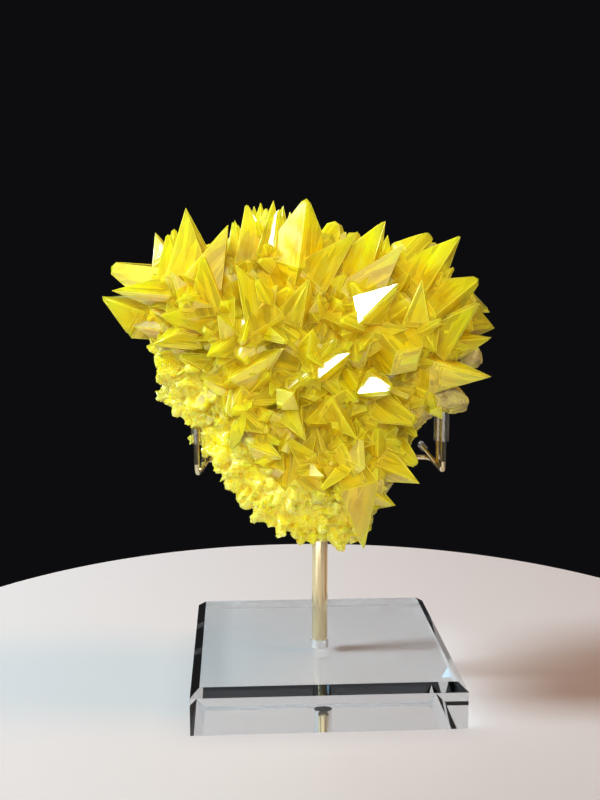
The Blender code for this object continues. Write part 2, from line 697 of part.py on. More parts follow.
def make_arm(name, legs, side, extra_rods):
    """A rod from the post that bends forward into an upright cradle."""
    front, rear = legs
    corners = [Vector((front.x, front.y, front.top - GAP)), Vector((front.x, front.y, CRADLE_Z)),
               Vector((rear.x, rear.y, CRADLE_Z)), Vector((rear.x, rear.y, rear.top - GAP))]
    cradle = tube_mesh(rounded_path(corners, CRADLE_ROUNDING), ARM_ROD, ROD_SIDES)
    bend = Vector((rear.x - side * MM, ARM_Y, ARM_Z))
    middle = Vector(((front.x + rear.x) / 2, (front.y + rear.y) / 2, CRADLE_Z))
    corners = [Vector((side * (POST_DIAMETER / 2 + GAP), ARM_Y, ARM_Z)), bend, middle]
    rods = [tube_mesh(rounded_path(corners, CRADLE_ROUNDING), ARM_ROD, ROD_SIDES)]
    mesh = combine(cradle, "UNION", rods + extra_rods)
    shade_round(mesh)
    link(name, mesh, make_material(name + "_brass", (0.72, 0.53, 0.25), 0.25, 1.0))


def make_sleeve(leg):
    """Clear tube over the upper part of a leg."""
    wall = cylinder_mesh(SLEEVE_OUTSIDE / 2, leg.foot, leg.top, SLEEVE_SIDES)
    bore = cylinder_mesh(ARM_ROD / 2 + GAP, leg.foot - MM, leg.top + MM, SLEEVE_SIDES)
    mesh = combine(wall, "DIFFERENCE", [bore])
    mesh.transform(Matrix.Translation((leg.x, leg.y, 0)))
    shade_round(mesh)
    material = make_material(leg.name + "_clear_vinyl", (0.85, 0.86, 0.84), 0.15, alpha=0.35)
    link(leg.name + "_sleeve", mesh, material)


def cap_shape(outside, low, high, chamfer=0.0):
    """A cylinder about the prong's line, with heights counted from the prong's tip."""
    mesh = cylinder_mesh(outside / 2, low, high, SLEEVE_SIDES, chamfer)
    turn = (PRONG_TIP - PRONG_START).to_track_quat("Z", "Y").to_matrix().to_4x4()
    mesh.transform(Matrix.Translation(PRONG_TIP) @ turn)
    return mesh


def make_prong_cap():
    """Small clear cap on the end of the thin prong."""
    wall = cap_shape(CAP_OUTSIDE, *CAP_SPAN, CAP_CHAMFER)
    bore = cap_shape(PRONG_ROD + 2 * GAP, CAP_SPAN[0] - MM, GAP)
    mesh = combine(wall, "DIFFERENCE", [bore])
    shade_round(mesh)
    material = make_material("prong_clear_vinyl", (0.85, 0.86, 0.84), 0.15, alpha=0.35)
    link("right_prong_cap", mesh, material)


def stand_clearances():
    """What the cluster leaves free for the post, the legs and the prong's cap."""
    cuts = [cylinder_mesh(POST_DIAMETER / 2 + GAP, 0, POST_TOP_Z + GAP, CUT_SIDES)]
    cuts.append(cap_shape(CAP_OUTSIDE + 2 * GAP, CAP_SPAN[0] - MM, CAP_SPAN[1] + GAP))
    for leg in LEFT_LEGS + RIGHT_LEGS:
        cut = cylinder_mesh(SLEEVE_OUTSIDE / 2 + GAP, ARM_Z, leg.top + GAP, CUT_SIDES)
        cut.transform(Matrix.Translation((leg.x, leg.y, 0)))
        cuts.append(cut)
    return cuts


def make_cluster():
    growths = [*seen_crystals(), *cover_crystals(), *crust_rim(), *back_crystals(), *rock_lumps()]
    mesh = combine(unite(make_body(), growths), "DIFFERENCE", stand_clearances())
    link("sulfur_cluster", mesh, make_material("sulfur", (0.80, 0.66, 0.01), 0.25))


def main():
    clear_scene()
    make_cluster()
    make_base()
    make_post()
    make_arm("left_arm", LEFT_LEGS, -1, [])
    prong = tube_mesh([PRONG_START, PRONG_TIP], PRONG_ROD, ROD_SIDES)
    make_arm("right_arm", RIGHT_LEGS, 1, [prong])
    make_prong_cap()
    for leg in LEFT_LEGS + RIGHT_LEGS:
        make_sleeve(leg)


main()
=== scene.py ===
import math
import random

import bmesh
import bpy
import numpy as np
from bpy.props import FloatProperty, FloatVectorProperty, IntProperty, PointerProperty
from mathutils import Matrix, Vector, noise
from mathutils.kdtree import KDTree


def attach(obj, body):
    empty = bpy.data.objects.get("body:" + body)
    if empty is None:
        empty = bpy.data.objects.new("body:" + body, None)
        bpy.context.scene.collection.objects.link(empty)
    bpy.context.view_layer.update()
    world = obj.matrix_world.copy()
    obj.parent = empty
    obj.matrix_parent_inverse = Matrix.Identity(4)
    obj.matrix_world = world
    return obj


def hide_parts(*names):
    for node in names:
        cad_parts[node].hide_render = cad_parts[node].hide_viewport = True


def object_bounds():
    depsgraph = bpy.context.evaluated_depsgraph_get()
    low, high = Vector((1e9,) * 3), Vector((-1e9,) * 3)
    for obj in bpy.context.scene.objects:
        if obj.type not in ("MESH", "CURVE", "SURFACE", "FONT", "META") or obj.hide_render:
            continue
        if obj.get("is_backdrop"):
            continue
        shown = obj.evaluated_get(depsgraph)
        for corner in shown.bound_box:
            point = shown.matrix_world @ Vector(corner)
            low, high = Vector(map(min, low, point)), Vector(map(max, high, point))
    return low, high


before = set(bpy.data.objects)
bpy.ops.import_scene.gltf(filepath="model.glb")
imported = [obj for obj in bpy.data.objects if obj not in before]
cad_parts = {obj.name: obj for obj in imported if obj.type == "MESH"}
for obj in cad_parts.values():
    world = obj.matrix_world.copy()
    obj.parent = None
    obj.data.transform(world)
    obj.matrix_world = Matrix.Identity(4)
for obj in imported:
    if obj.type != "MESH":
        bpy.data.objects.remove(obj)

CAD_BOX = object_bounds()

bl_info = {
    "name": "Sulfur Crystal Cluster",
    "version": (1, 0, 0),
    "blender": (4, 5, 0),
    "location": "3D View > Sidebar > Sulfur",
    "description": "Dresses a native sulfur crystal cluster and its clear stand",
    "category": "Object",
}

MM = 0.001

# The CAD model's nodes
CLUSTER = "sulfur_cluster"
BASE = "acrylic_base"
POST = "brass_post"
ARMS = ("left_arm", "right_arm")
CLEAR_VINYL = ("left_front_sleeve", "left_rear_sleeve", "right_front_sleeve",
               "right_rear_sleeve", "right_prong_cap")

# Camera: place in mm, compass angle to the right of +Y and angle down in degrees, and the
# focal length for a sensor of this height
EYE = (-24.7, -321.3, 134.8)
LOOK_RIGHT = 3.327
LOOK_DOWN = 8.591
LENS = 33.045
SENSOR_HEIGHT = 24

# The mass that the crystals grow from, in mm: its middle and its outline in the front view
BODY_CENTRE = (-6.0, 98.0)
BODY_OUTLINE = (
    (36, 108), (37.5, 117), (33, 125), (25, 128), (18, 130), (10, 131.5), (3, 134), (-4, 137),
    (-11, 137), (-18, 137.5), (-24, 135), (-30, 131), (-38, 132), (-45, 127), (-49, 119),
    (-51, 109), (-48.5, 102), (-46, 95), (-43.5, 88), (-38, 81), (-32, 73.5), (-27, 65.5),
    (-20.5, 58.5), (-14, 52), (-7, 48.5), (1, 47.5), (8, 50), (14, 56), (19, 63), (24, 72),
    (28, 80), (34, 84), (37, 90), (37, 99),
)
# The outline again, as angles about the centre and radii
OUTLINE_TABLE = tuple(zip(*sorted(
    (math.atan2(z - BODY_CENTRE[1], x - BODY_CENTRE[0]) % math.tau,
     math.hypot(x - BODY_CENTRE[0], z - BODY_CENTRE[1])) for x, z in BODY_OUTLINE)))
# How far its front and its back stand out from its rim, and the power of those domes' curve
FRONT_BULGE = 17.0
BACK_BULGE = 21.0
DOME_POWER = 2.6
# The depth of its rim, which leans forward below a height, more and more over a span
RIM_DEPTH = -6.0
FOOT_LEAN = 11.0
LEAN_BELOW_Z = 92.0
LEAN_SPAN = 40.0
# The share of the back's depth that its foot has up to a height, and the span to the full depth
BACK_THIN = 0.42
BACK_THIN_Z = 66.0
BACK_FULL_SPAN = 26.0

# Lumps of the pale rock that show past the crystals: middle and half sizes in mm. The one left
# of this x is fine grained sulfur.
GRAINED_LEFT_OF_X = -30
ROCK_LUMPS = (
    ((26, -4, 127), (6, 7, 5)),
    ((39, 0, 124), (5, 6, 5)),
    ((44, 0, 99), (4, 6, 4.5)),
    ((35.5, -12, 88.5), (5.5, 9, 4.5)),
    ((34, 2, 90), (6, 8, 6)),
    ((-36, -12, 86), (5, 8, 5)),
)
# Lumps that show only behind
REAR_LUMPS = (
    ((8, 8, 118), (17, 9, 12)),
    ((-22, 9, 104), (16, 8, 15)),
    ((14, 10, 97), (13, 8, 11)),
)

# Grainy crust along the lower left edge: its angles about the body's centre, and how far out
# it starts
CRUST_ANGLES = (math.radians(172), math.radians(286))
CRUST_FROM = 0.64
# Patches in which the crust's crystals have melted into fine grains, and the share that have
CRUST_PATCH = 5 * MM
CRUST_SHARE = 0.25

# What shows at a face, which is also its material's number on the cluster
CRYSTAL, MASSIVE, ROCK = range(3)
# A lump's finish reaches this far out from its middle, with 1 on its half sizes
LUMP_REACH = 1.08
# A face lies on the bare body when its place is at most this far out, with 1 on the body, and
# the cosine between its normal and the body's is at least this
BARE_LEVEL = 1.09
BARE_COSINE = 0.62
# The same on the right flank, for faces that look to the front or back less than this
FLANK_LEVEL = 1.06
FLANK_COSINE = 0.8
FLANK_FORWARD = 0.6
# Size in m and height in mm of the waves that make the borders between minerals ragged, and
# how far those reach in the crust's edge and in the bare body's level
RAGGED_WAVES = ((7 * MM, 1.6), (2.5 * MM, 0.8))
RAGGED_CRUST = 2.2
RAGGED_BODY = 0.02
# Size of the patches on the bare body, and the noise above which one is rock
GROUND_PATCH = 16 * MM
ROCK_ABOVE = 0.05

# Growth steps: the least area and the most sides of a facet that has them, how many it may
# have, each one's margin as a share of the facet's room, its shift to the crystal's point as a
# share of the margin, its height in mm and its riser's width
STEPPED_AREA = 12 * MM ** 2
MOST_SIDES = 7
STEP_COUNTS = (1, 1, 2, 3)
STEP_MARGIN = (0.14, 0.34)
STEP_SHIFT = (0.2, 0.9)
STEP_HEIGHT = (0.14, 0.36)
RISER_WIDTH = 0.05 * MM
STEP_SEED = 15
# The middle of the cluster, away from which the crystals point
HEART = Vector((-6, -6, 98)) * MM

# Faces that meet at less than this are one facet
FLAT_ANGLE = math.radians(0.6)
FLAT_COSINE = math.cos(FLAT_ANGLE)
# Each facet's growth lines are moved by up to this many mm, so that no two are alike
FACET_SHIFT = 400
TINT_SEED = 4
# Edges sharper than this count as a crystal's, and are noted as places this far apart
SHARP = math.radians(24)
EDGE_STEP = 0.5 * MM

# Edges that get a rod: how sharp and how long they are at least
ROD_ANGLE = math.radians(32)
SHORTEST_ROD = 3 * MM
# Corners that side crystals grow from are at least this hollow
CORNER_ANGLE = math.radians(-25)

# Corners of the CAD mesh that are closer than this are one
MERGE_DISTANCE = 0.005 * MM
# Longest edge of the finished mesh, on facets and on the rough parts
FINENESS = 3.2 * MM
CRUST_FINENESS = 1.1 * MM
REFINING_PASSES = 7
# Rough parts: passes of smoothing, then lumps of a size in m and a height in mm, round ones and
# flat faced ones, and how far in mm the whole sinks to make up for them
SOFTENING = 4
ROUND_LUMPS = (6 * MM, 0.6)
FLAT_LUMPS = ((3.2 * MM, 0.3), (1.3 * MM, 0.22))
SINKING = 0.2
# Most turn in radians about each axis of a grain or crust crystal that lies any way round
ANY_TURN = (6.28, 6.28, 6.28)
# A loose bit of the united mesh with fewer faces than this is a sliver
SLIVER_FACES = 30

# Clear plastics: IOR, least and most roughness, and density of the tint that light takes on
CAST_ACRYLIC = (1.49, (0.0, 0.03), 8.0)
EXTRUDED_VINYL = (1.53, (0.08, 0.2), 60.0)

# Floor: its thickness, the rounding of its rim, and how far it lies in front of the origin and
# below the base
FLOOR_THICK = 20 * MM
FLOOR_ROUNDING = 3 * MM
FLOOR_FORWARD = 8 * MM
FLOOR_GAP = 0.1 * MM

# Lamps: place in mm, width and height in m, and colour, and the place that they all aim at
AIM = Vector((0, -10, 100)) * MM
KEY = ((-735, -60, 616), 0.2, 0.2, "#E2F7FF")
FILL = ((-60, -640, 340), 0.4, 0.4, "#FAFCFF")
WARM = ((470, -80, 760), 0.2, 0.2, "#FFB274")
BACK = ((-260, 620, 520), 0.6, 0.5, "#FFFFFF")
GLOW = ((-260, -420, 0), 0.55, 0.22, "#FFFFFF")
# Pale panels in the studio that only facets mirror, as a satin sheen, and their powers in W
SHEENS = ((((490, -765, 100), 0.42, 0.25, "#FFF8EC"), 0.4),
          (((-274, -763, 508), 0.32, 0.25, "#FFF8EC"), 0.3))


def linear(hex_code):
    """Linear colour with alpha from an sRGB hex value."""
    channels = [int(hex_code[i:i + 2], 16) / 255 for i in (1, 3, 5)]
    return (*[c / 12.92 if c <= 0.04045 else ((c + 0.055) / 1.055) ** 2.4 for c in channels], 1.0)


def colour_setting(name, description, hex_code):
    """A colour in the sidebar, from an sRGB hex value."""
    return FloatVectorProperty(name=name, description=description, subtype="COLOR", size=4,
                               min=0.0, max=1.0, default=linear(hex_code))


def length_setting(name, description, size, least=0.0):
    """A length in the sidebar, in m."""
    return FloatProperty(name=name, description=description, default=size, min=least,
                         unit="LENGTH", precision=4)


def power_setting(name, description, power):
    """A lamp's power in the sidebar, in W."""
    return FloatProperty(name=name, description=description, default=power, min=0.0,
                         unit="POWER")


class SulfurSettings(bpy.types.PropertyGroup):
    """Sizes and colours of the mineral."""
    # Painted shade: this colour darkens the hollows between the crystals and the gaps between the
    # crust's grains
    crevice_shade: colour_setting("Amber", "Body colour down between the crystals", "#DEB600")
    gold: colour_setting("Gold", "Body colour deep in a crystal", "#F6D200")
    # Lemon is painted light at the crystals' thin points, and a plain body colour elsewhere
    lemon: colour_setting("Lemon", "Body colour near the points", "#FAE906")
    pale: colour_setting("Pale", "Colour of fine grained sulfur", "#E2D850")
    # Veil is the colour of the real veils, and also of the painted highlight along the crystals' edges
    veil: colour_setting("Veil", "Colour of the veils and edges", "#FFEF50")
    # Painted highlight: this pale colour is painted on the ridges of fine grained sulfur
    ridge_highlight_tint: colour_setting("Frost", "Colour of the ridges of fine grained sulfur", "#F2ECA0")
    rock: colour_setting("Rock", "Colour of the host limestone", "#B39E60")
    glow_depth: length_setting("Glow depth", "How far light spreads inside", 8 * MM)
    clarity: FloatProperty(name="Clarity", description="Share of light that passes straight",
                           default=0.12, min=0.0, max=1.0, subtype="FACTOR")
    edge_width: length_setting("Edge width", "Width of a crystal's rounded edge", 0.17 * MM)
    side_spacing: length_setting("Side spacing", "Step between side crystals", 12 * MM, 0.5 * MM)
    side_length: length_setting("Side length", "Length of a side crystal", 14 * MM)
    crust_spacing: length_setting("Crust spacing", "Step between crust crystals", 4.4 * MM,
                                  0.5 * MM)
    crust_length: length_setting("Crust length", "Length of a crust crystal", 3.8 * MM)
    grain_size: length_setting("Grain size", "Width of a grain of the crust", 0.7 * MM)
    grain_count: IntProperty(name="Grains", description="Number of grains on the crust",
                             default=5000, min=0)


class StandSettings(bpy.types.PropertyGroup):
    """Colours of the stand."""
    brass: colour_setting("Brass", "Colour of the polished rods", "#FBEDC6")
    dull_brass: colour_setting("Dull brass", "Colour of the rods where they dulled", "#E8D29C")
    acrylic: colour_setting("Acrylic", "Tint deep in the clear base", "#C4D0D6")
    vinyl: colour_setting("Vinyl", "Tint of the clear sleeves", "#F1EFE4")


class StageSettings(bpy.types.PropertyGroup):
    """Floor and lights."""
    floor: colour_setting("Floor", "Colour of the floor", "#EAE4E3")
    backdrop: colour_setting("Backdrop", "Colour around the floor", "#0D0D0F")
    ambient: colour_setting("Ambient", "Colour of the light from all around", "#3C3C3E")
    floor_radius: length_setting("Floor radius", "Radius of the round floor", 158 * MM,
                                 50 * MM)
    key: power_setting("Key light", "Power of the light from the left", 9.4)
    fill: power_setting("Fill light", "Power of the soft light from the front", 5.4)
    warm: power_setting("Warm light", "Power of the warm light from the right", 2.1)
    back: power_setting("Back light", "Power of the soft light from behind", 2.0)
    glow: power_setting("Stand light", "Power of the light on the stand", 1.8)


def add(tree, kind, inputs=None, **settings):
    """Add a node with its settings, and set or link its inputs by name or number.

    An input that is given a node takes that node's first output in use.
    """
    node = tree.nodes.new(kind)
    for name, value in settings.items():
        setattr(node, name, value)
    for name, value in (inputs or {}).items():
        if isinstance(value, bpy.types.Node):
            value = next(output for output in value.outputs if output.enabled)
        if isinstance(value, bpy.types.NodeSocket):
            tree.links.new(value, node.inputs[name])
        else:
            node.inputs[name].default_value = value
    return node


def new_material(name):
    """A material, its empty tree, and places on the object in m."""
    material = bpy.data.materials.new(name)
    material.use_nodes = True
    tree = material.node_tree
    tree.nodes.clear()
    return material, tree, add(tree, "ShaderNodeTexCoord").outputs["Object"]


def bmesh_of(mesh):
    """A bmesh made from a mesh."""
    bm = bmesh.new()
    bm.from_mesh(mesh)
    return bm


def new_mesh(name, bm):
    """A mesh made from a bmesh, which is freed."""
    mesh = bpy.data.meshes.new(name)
    bm.to_mesh(mesh)
    bm.free()
    return mesh


def link_object(name, data):
    """A new object in the scene."""
    new = bpy.data.objects.new(name, data)
    bpy.context.scene.collection.objects.link(new)
    return new


def show(name, mesh, materials, replaces=()):
    """Link a finished piece of the mineral, on its body and with its finishes."""
    if not mesh.materials:
        for material in materials:
            mesh.materials.append(material)
    piece = link_object(name, mesh)
    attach(piece, "root")
    if replaces:
        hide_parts(*replaces)


def outline_radius(angle):
    """Distance in mm from the body's centre to its outline."""
    return float(np.interp(angle, *OUTLINE_TABLE, period=math.tau))


def from_centre(x, z):
    """Offset in mm from the body's centre in the front view, and the outline's radius there."""
    dx, dz = x - BODY_CENTRE[0], z - BODY_CENTRE[1]
    return dx, dz, outline_radius(math.atan2(dz, dx))


def smooth_step(value):
    """Share from 0 to 1 that starts and ends level."""
    value = min(max(value, 0.0), 1.0)
    return value * value * (3 - 2 * value)


def rim_depth(z):
    """Depth in mm of the body's rim at a height."""
    return RIM_DEPTH - FOOT_LEAN * smooth_step((LEAN_BELOW_Z - z) / LEAN_SPAN)


def back_fullness(z):
    """Share of its full depth that the body's back has at a height."""
    return BACK_THIN + (1 - BACK_THIN) * smooth_step((z - BACK_THIN_Z) / BACK_FULL_SPAN)


def body_depth(x, z, side):
    """Depth in mm of the body's front (-1) or back (1) at a place of the front view."""
    dx, dz, radius = from_centre(x, z)
    share = min(math.hypot(dx, dz) / radius, 1.0)
    dome = (1 - share ** DOME_POWER) ** (1 / DOME_POWER)
    if side < 0:
        return rim_depth(z) - FRONT_BULGE * dome
    return rim_depth(z) + BACK_BULGE * dome * back_fullness(z)


def body_fit(x, y, z, normal):
    """How far out a place lies, with 1 on the body, and a normal's cosine to the body's there."""
    dx, dz, radius = from_centre(x, z)
    rim = rim_depth(z)
    side, bulge = (1, BACK_BULGE * back_fullness(z)) if y > rim else (-1, FRONT_BULGE)
    share, depth = math.hypot(dx, dz) / radius, abs(y - rim) / bulge
    level = (share ** DOME_POWER + depth ** DOME_POWER) ** (1 / DOME_POWER)
    steepness = share ** (DOME_POWER - 2) / radius ** 2
    outward = Vector((dx * steepness, side * depth ** (DOME_POWER - 1) / bulge,
                      dz * steepness))
    return level, normal.dot(outward.normalized())


def is_bare_body(x, y, z, normal, slack):
    """Whether a face behind the rim or on top lies on the body, where no crystal covers it."""
    level, cosine = body_fit(x, y, z, normal)
    behind = y >= rim_depth(z) - 1
    on_top = normal.z >= 0.5
    return (behind or on_top) and level < BARE_LEVEL + slack and cosine > BARE_COSINE


def is_bare_flank(x, y, z, normal, riser):
    """Whether a face lies on the body's bare right flank, or on the riser of a step there."""
    level, cosine = body_fit(x, y, z, normal)
    sideways = cosine > FLANK_COSINE and abs(normal.y) < FLANK_FORWARD
    return x > 0 and level < FLANK_LEVEL and (riser or sideways)


def ground_at(place):
    """Rock or fine grained sulfur, as patches of either show where no crystal grew."""
    return ROCK if noise.noise(place / GROUND_PATCH) > ROCK_ABOVE else MASSIVE


def region_of(place, normal):
    """Which mineral shows at a face: crystals, fine grained sulfur or rock."""
    x, y, z = place / MM
    ragged = sum(noise.noise(place / size) * height for size, height in RAGGED_WAVES)
    faces_back = normal.y > 0.2
    for middle, halves in ROCK_LUMPS + (REAR_LUMPS if faces_back else ()):
        scaled = [(c - m) / h for c, m, h in zip((x, y, z), middle, halves)]
        if math.hypot(*scaled) < LUMP_REACH:
            return MASSIVE if x < GRAINED_LEFT_OF_X else ROCK
    if is_bare_body(x, y, z, normal, RAGGED_BODY * ragged):
        return ground_at(place)
    dx, dz, radius = from_centre(x, z)
    if CRUST_ANGLES[0] < math.atan2(dz, dx) % math.tau < CRUST_ANGLES[1]:
        if math.hypot(dx, dz) + RAGGED_CRUST * ragged > CRUST_FROM * radius:
            return MASSIVE
    return CRYSTAL


def note_regions(bm):
    """Note each face's region, and how near each vertex is to the outline of the body."""
    layer = bm.faces.layers.float.new("region")
    share = bm.verts.layers.float.new("share")
    for face in bm.faces:
        face[layer] = region_of(face.calc_center_median(), face.normal)
    for vert in bm.verts:
        x, _, z = vert.co / MM
        dx, dz, radius = from_centre(x, z)
        vert[share] = math.hypot(dx, dz) / radius


def drop_folds(bm):
    """Remove the pairs of faces that lie back to back on the same corners."""
    while True:
        on_corners = {}
        for face in bm.faces:
            on_corners.setdefault(frozenset(face.verts), []).append(face)
        folds = [face for faces in on_corners.values() if len(faces) > 1 for face in faces[:2]]
        if not folds:
            break
        bmesh.ops.delete(bm, geom=folds, context="FACES")


def all_triangles(bm):
    """Cut the faces with more than three sides into triangles."""
    bmesh.ops.triangulate(bm, faces=[face for face in bm.faces if len(face.verts) > 3])
    drop_folds(bm)


def refine(bm, longest):
    """Split long edges until none is longer than asked."""
    for _ in range(REFINING_PASSES):
        edges = [edge for edge in bm.edges if edge.calc_length() > longest]
        if not edges:
            break
        bmesh.ops.subdivide_edges(bm, edges=edges, cuts=1)
        all_triangles(bm)


def facet_noise(place, size):
    """Height between about -1 and 1 of a ground of tilted flat grains of a given size.

    The two factors only keep the grains' tilts and levels apart.
    """
    centre = noise.voronoi(place / size)[1][0]
    tilt = noise.cell_vector(centre * 7.3) * 2 - Vector((1, 1, 1))
    return tilt.dot(place / size - centre) + 0.5 * noise.cell(centre * 5.1)


def roughen(bm):
    """Make the fine grained parts and the rock lumpy, and leave the crystals' facets."""
    for region in (MASSIVE, ROCK, MASSIVE, ROCK):
        edges = [edge for edge in bm.edges if edge.calc_length() > CRUST_FINENESS
                 and all(face.material_index == region for face in edge.link_faces)]
        bmesh.ops.subdivide_edges(bm, edges=edges, cuts=1)
        all_triangles(bm)
    soft = [vert for vert in bm.verts
            if all(face.material_index != CRYSTAL for face in vert.link_faces)]
    for _ in range(SOFTENING):
        bmesh.ops.smooth_vert(bm, verts=soft, factor=0.5, use_axis_x=True, use_axis_y=True,
                              use_axis_z=True)
    bm.normal_update()
    moves = []
    for vert in soft:
        height = ROUND_LUMPS[1] * noise.noise(vert.co / ROUND_LUMPS[0])
        for size, most in FLAT_LUMPS:
            height += most * facet_noise(vert.co, size)
        moves.append(vert.normal * (height - SINKING) * MM)
    for vert, move in zip(soft, moves):
        vert.co += move


def note_depths(bm, edge_places):
    """Note how far each vertex stands out from the body, and how near it is to an edge, in mm."""
    standing = bm.verts.layers.float.new("standing")
    rim = bm.verts.layers.float.new("rim")
    tree = KDTree(len(edge_places))
    for index, place in enumerate(edge_places):
        tree.insert(place, index)
    tree.balance()
    for vert in bm.verts:
        x, y, z = vert.co / MM
        dx, dz, radius = from_centre(x, z)
        past_rim = math.hypot(dx, dz) - radius
        vert[standing] = max(body_depth(x, z, -1) - y, y - body_depth(x, z, 1), past_rim)
        vert[rim] = tree.find(vert.co)[2] / MM


def raise_steps(bm):
    """Raise low growth steps on the larger facets, shifted towards the crystal's point."""
    wall = bm.faces.layers.float.new("wall")
    draw = random.Random(STEP_SEED)
    for face in [face for face in bm.faces if face.calc_area() > STEPPED_AREA]:
        rough = region_of(face.calc_center_median(), face.normal) != CRYSTAL
        if rough or len(face.verts) > MOST_SIDES or not is_convex(face):
            continue
        room = 2 * face.calc_area() / face.calc_perimeter()
        for _ in range(draw.choice(STEP_COUNTS)):
            margin = room * draw.uniform(*STEP_MARGIN)
            room -= margin
            point = max(face.verts, key=lambda vert: (vert.co - HEART).length)
            way = (point.co - face.calc_center_median()).normalized() * margin
            bmesh.ops.inset_individual(bm, faces=[face], thickness=margin)
            bmesh.ops.translate(bm, vec=way * draw.uniform(*STEP_SHIFT), verts=face.verts)
            risers = bmesh.ops.inset_individual(bm, faces=[face], thickness=RISER_WIDTH,
                                                depth=draw.uniform(*STEP_HEIGHT) * MM)
            for riser in risers["faces"]:
                riser[wall] = 1.0


def is_convex(face):
    """Whether a facet has no inward corner."""
    corners = [vert.co for vert in face.verts]
    sides = [after - here for here, after in zip(corners, corners[1:] + corners[:1])]
    return all(before.cross(after).dot(face.normal) > 0
               for before, after in zip(sides, sides[1:] + sides[:1]))


def choose_finishes(bm):
    """Give each face of the united cluster the mineral that shows there."""
    side, bed, wall = (bm.faces.layers.float[name] for name in ("side", "bed", "wall"))
    for face in bm.faces:
        place = face.calc_center_median()
        if face[side] > 0.5:
            sugary = face[bed] > 0.5 and noise.cell(place / CRUST_PATCH) < CRUST_SHARE
            face.material_index = MASSIVE if sugary else CRYSTAL
            continue
        mineral = region_of(place, face.normal)
        riser = face[wall] > 0.5
        if mineral == CRYSTAL and is_bare_flank(*place / MM, face.normal, riser):
            mineral = ground_at(place)
        face.material_index = mineral


def patches_of(bm, goes_on):
    """The faces in patches that hang together, wherever goes_on(first face, next face)."""
    seen = set()
    for start in bm.faces:
        if start in seen:
            continue
        seen.add(start)
        patch, queue = [start], [start]
        while queue:
            for edge in queue.pop().edges:
                for other in edge.link_faces:
                    if other not in seen and goes_on(start, other):
                        seen.add(other)
                        patch.append(other)
                        queue.append(other)
        yield patch


def drop_slivers(bm):
    """Remove the loose bits with few faces that the union of crystals leaves behind."""
    slivers = [patch for patch in patches_of(bm, lambda start, other: True)
               if len(patch) < SLIVER_FACES]
    verts = {vert for patch in slivers for face in patch for vert in face.verts}
    bmesh.ops.delete(bm, geom=list(verts), context="VERTS")


def sharp_edge_places(bm):
    """Places all along the sharp outer edges of the crystals."""
    places = []
    for edge in bm.edges:
        if edge.is_convex and edge.calc_face_angle(0) > SHARP:
            a, b = (vert.co for vert in edge.verts)
            count = max(1, round((b - a).length / EDGE_STEP))
            places.extend(a.lerp(b, i / count) for i in range(count + 1))
    return places


def is_same_facet(start, other):
    """Whether two faces are flat together and of one mineral."""
    return (other.normal.dot(start.normal) > FLAT_COSINE
            and other.material_index == start.material_index)


def lay_out_facets(bm):
    """Lay every facet out along its longest edge in mm, for its growth lines, and tint it."""
    layer = bm.loops.layers.uv.new("facet")
    tint = bm.faces.layers.float.new("tint")
    draw = random.Random(TINT_SEED)
    for facet in patches_of(bm, is_same_facet):
        edges = {edge for face in facet for edge in face.edges}
        longest = max(edges, key=lambda edge: (edge.calc_length(), edge.index))
        along = (longest.verts[1].co - longest.verts[0].co).normalized()
        across = facet[0].normal.cross(along)
        shift = draw.uniform(0, FACET_SHIFT)
        tone = draw.random()
        for face in facet:
            face[tint] = tone
            for loop in face.loops:
                place = loop.vert.co / MM
                loop[layer].uv = (place.dot(along) + shift, place.dot(across) + shift)


# Materials


